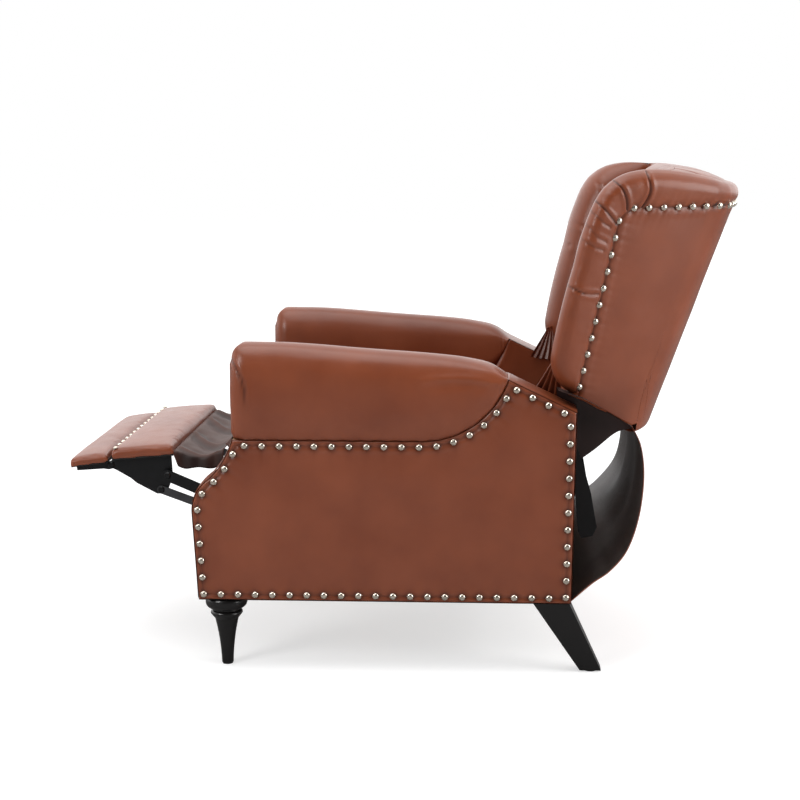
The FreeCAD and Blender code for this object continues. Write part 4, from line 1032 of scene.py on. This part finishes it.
flap_u = np.linspace(-1, 1, 190)
FLAP_FLAT = 0.93  # share of the flap's half width that lies flat; the rest hangs as its hem
hem = np.clip((np.abs(flap_u) - FLAP_FLAT) / (1 - FLAP_FLAT), 0, 1)
flap_x = np.minimum(np.abs(flap_u), FLAP_FLAT) / FLAP_FLAT * 234.0 + 4.0 * np.sqrt(hem)
flap_line = [(-436.5, 409.5), (-428, 411.5), (-405, 404), (-382, 398), (-358, 402), (-335, 416)]
flap = hung(curve(flap_line, 60), np.sign(flap_u) * flap_x)
fl = flap.reshape(-1, 3)
flap_t = np.repeat(np.linspace(0, 1, 60), 190)
slack = np.clip(flap_t / 0.12, 0, 1) * np.clip((1 - flap_t) / 0.1, 0, 1)
hem_drop = np.tile(hem, 60) * (24.0 + 5.0 * np.sin(flap_t * 9.0)) * np.clip(flap_t / 0.1, 0.15, 1)
flap_ridges = [([(52, -428), (105, -392), (165, -335)], 6.0),
               ([(-118, -428), (-60, -385), (-5, -335)], 6.0),
               ([(205, -428), (222, -395), (232, -350)], 4.0),
               ([(-215, -428), (-190, -380), (-150, -335)], 4.0)]
# Painted shade over the slack middle of the flap, deeper beside each ridge and on the hanging hem,
# lighter on the ridge tops.
flap_painted_shade = 0.35 * slack
for line, tall in flap_ridges:
    gap = away(fl[:, :2], curve(line))
    fl[:, 2] += slack * tall * (np.exp(-(gap / 7) ** 1.4) - 0.5 * bump(gap - 22, 12))
    flap_painted_shade += 0.4 * slack * bump(gap - 16, 9) - 0.3 * slack * bump(gap, 6)
fl[:, 2] += slack * 1.5 * ripple(fl, 0.03, 21.0) - hem_drop
fl[:, 0] += np.sign(fl[:, 0]) * (hem_drop > 0) * 1.2 * np.sin(fl[:, 1] / 5.0)
flap_painted_shade = np.clip(flap_painted_shade + 0.3 * (hem_drop > 0), 0, 1)
o = sheet_piece("footrest_flap_cover", flap, shaded_hide, "footrest", thick=1.8, painted_shade=flap_painted_shade)
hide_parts("footrest_flap")


# Skirt behind the base
near = [(196, 456, 512), (200, 461, 470), (236, 478, 430), (262, 483, 368), (284, 475, 296),
        (300, 454, 238), (312, 421, 200), (320, 385, 176), (325, 345.5, 143)]
far = [(-196, 456, 512), (-200, 461, 470), (-236, 474, 422), (-258, 472, 350), (-280, 458, 296),
       (-296, 424, 248), (-308, 392, 216), (-318, 367, 186), (-325, 345.5, 143)]
across = np.linspace(1, 0, 130)[None, :, None]
skirt = curve(near, 110)[:, None] * (1 - across) + curve(far, 110)[:, None] * across
sp = skirt.reshape(-1, 3)
loose = np.sin(math.pi * np.repeat(np.linspace(0, 1, 110), 130)) ** 0.8
sp[:, 1] += loose * (4.0 * ripple(sp * [1, 0.3, 0.5], 0.012, 2.0) + 2.0 * np.sin(sp[:, 0] / 34.0))
skirt_obj = sheet_piece("back_skirt_cover", sp.reshape(skirt.shape), hide, "base", thick=2.0)
skirt_obj.data.materials.append(backing)
skirt_obj.modifiers["thickness"].material_offset = 1
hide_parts("back_skirt")
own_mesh(skirt_obj)


# Gathered leather that closes the corner between each wing and its arm
def between(start, end, share):
    return np.array(start, float) * (1 - share) + np.array(end, float) * share


gather_a, gather_b = np.linspace(0, 1, 90)[None, :, None], np.linspace(0, 1, 50)[:, None, None]
gathers = between(between((264, 320, 602), (252, 306, 598), gather_a),
                  between((249, 326, 526), (236, 266, 536), gather_a), gather_b)
wave = np.cos(TURN * 4.5 * gather_a + 0.6 * np.sin(3 * gather_b))
gathers = gathers + wave * gather_b ** 0.7 * 3.8 * np.array([0.75, -0.6, 0.1])
# Painted shade in the valleys of the gathers, deeper towards the lower edge.
gather_painted_shade = 0.75 * (0.5 - 0.5 * wave[..., 0]) * gather_b[..., 0] ** 0.5
for side, turn in SIDES:
    o = sheet_piece("wing_gusset_" + side, turn(gathers), hide, None, painted_shade=gather_painted_shade)
    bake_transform(o)

# Dark sheet below each wing, behind the arm: painted shadow in the shaded gap
rows = [curve(line, 50) for line in (
    [(330, 316, 552), (326, 345, 541), (320, 371, 531), (303, 423, 500), (285, 458, 476)],
    [(262, 314, 549), (258, 345, 536), (254, 371, 525), (250, 423, 492), (246, 461, 470)],
    [(240, 322, 396), (240, 350, 396), (240, 387, 420), (238, 430, 455), (236, 462, 464)])]
shadow_sheet_grid = np.stack([resample(line, 40) for line in np.stack(rows, 1)])
for side, turn in SIDES:
    o = sheet_piece("under_wing_shadow_sheet_" + side, turn(shadow_sheet_grid), shadow_leather, None)
    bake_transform(o)


# Floor, light and camera

WHITE = (1, 1, 1, 1)


def floor(half=14):
    mat = bpy.data.materials.new("white_floor")
    tree = empty_tree(mat)
    ray = node(tree, "LightPath").outputs
    tone = node(tree, "MapRange", Value=ray["Is Glossy Ray"], To_Min=0.92, To_Max=0.2)
    matte = node(tree, "BsdfDiffuse", Color=tone.outputs["Result"])
    glow = node(tree, "Emission", Color=WHITE, Strength=1.3)
    spread = node(tree, "VectorMath", node(tree, "TexCoord").outputs["Object"],
                  options={"operation": "LENGTH"})
    ring = node(tree, "MapRange", Value=spread.outputs["Value"],
                From_Min=0.55, From_Max=1.3, To_Min=0.42, To_Max=1.0)
    part = node(tree, "Math", ray["Is Camera Ray"], ring.outputs["Result"],
                options={"operation": "MULTIPLY"})
    mix = node(tree, "MixShader", part.outputs[0], matte.outputs[0], glow.outputs[0])
    node(tree, "OutputMaterial", mix.outputs[0])
    mesh = bpy.data.meshes.new("floor")
    mesh.from_pydata([(-half, -half, 0), (half, -half, 0), (half, half, 0), (-half, half, 0)], [],
                     [(0, 1, 2, 3)])
    mesh.materials.append(mat)
    link("floor", mesh)


def world():
    """Light that fades towards the photographed side, in front of plain white."""
    scene.world = bpy.data.worlds.new("studio")
    tree = empty_tree(scene.world)
    way = node(tree, "SeparateXYZ", node(tree, "TexCoord").outputs["Generated"])
    fall = node(tree, "MapRange", options={"interpolation_type": "SMOOTHSTEP"},
                Value=way.outputs["X"], From_Min=-0.35, From_Max=0.65, To_Min=1.6, To_Max=0.08)
    soft_light = node(tree, "Background", Color=WHITE, Strength=fall.outputs["Result"])
    white = node(tree, "Background", Color=WHITE, Strength=1.0)
    mix = node(tree, "MixShader", node(tree, "LightPath").outputs["Is Camera Ray"],
               soft_light.outputs[0], white.outputs[0])
    node(tree, "OutputWorld", mix.outputs[0])


def area(name, at, aim, size, power):
    data = bpy.data.lights.new(name, "AREA")
    data.shape = "RECTANGLE"
    data.size, data.size_y = size
    data.energy = power
    obj = link(name, data)
    obj.location = at
    obj.rotation_euler = (Vector(aim) - Vector(at)).to_track_quat("-Z", "Y").to_euler()


floor()
world()
area("top_softbox", (0.6, -0.5, 3.2), (0.0, 0.0, 0.4), (2.4, 2.4), 52)
area("front_softbox", (2.6, -2.6, 2.2), (0.0, 0.0, 0.4), (1.3, 1.3), 56)
area("rear_softbox", (0.9, 3.4, 1.4), (0.1, 0.3, 0.7), (2.2, 2.4), 85)

cam = bpy.data.cameras.new("camera")
cam.sensor_width = 36.0
cam.lens = 74.2
cam.shift_x = -0.05
cam.clip_start, cam.clip_end = 0.1, 100
camera = link("camera", cam)
yaw, pitch = math.radians(-2.57), math.radians(9.57)
look = Vector((-math.cos(yaw) * math.cos(pitch), math.sin(yaw) * math.cos(pitch), -math.sin(pitch)))
camera.location = (3.386, 0.2147, 1.048)
camera.rotation_euler = look.to_track_quat("-Z", "Y").to_euler()
scene.camera = camera
scene.view_settings.view_transform = "Standard"

bpy.context.view_layer.update()
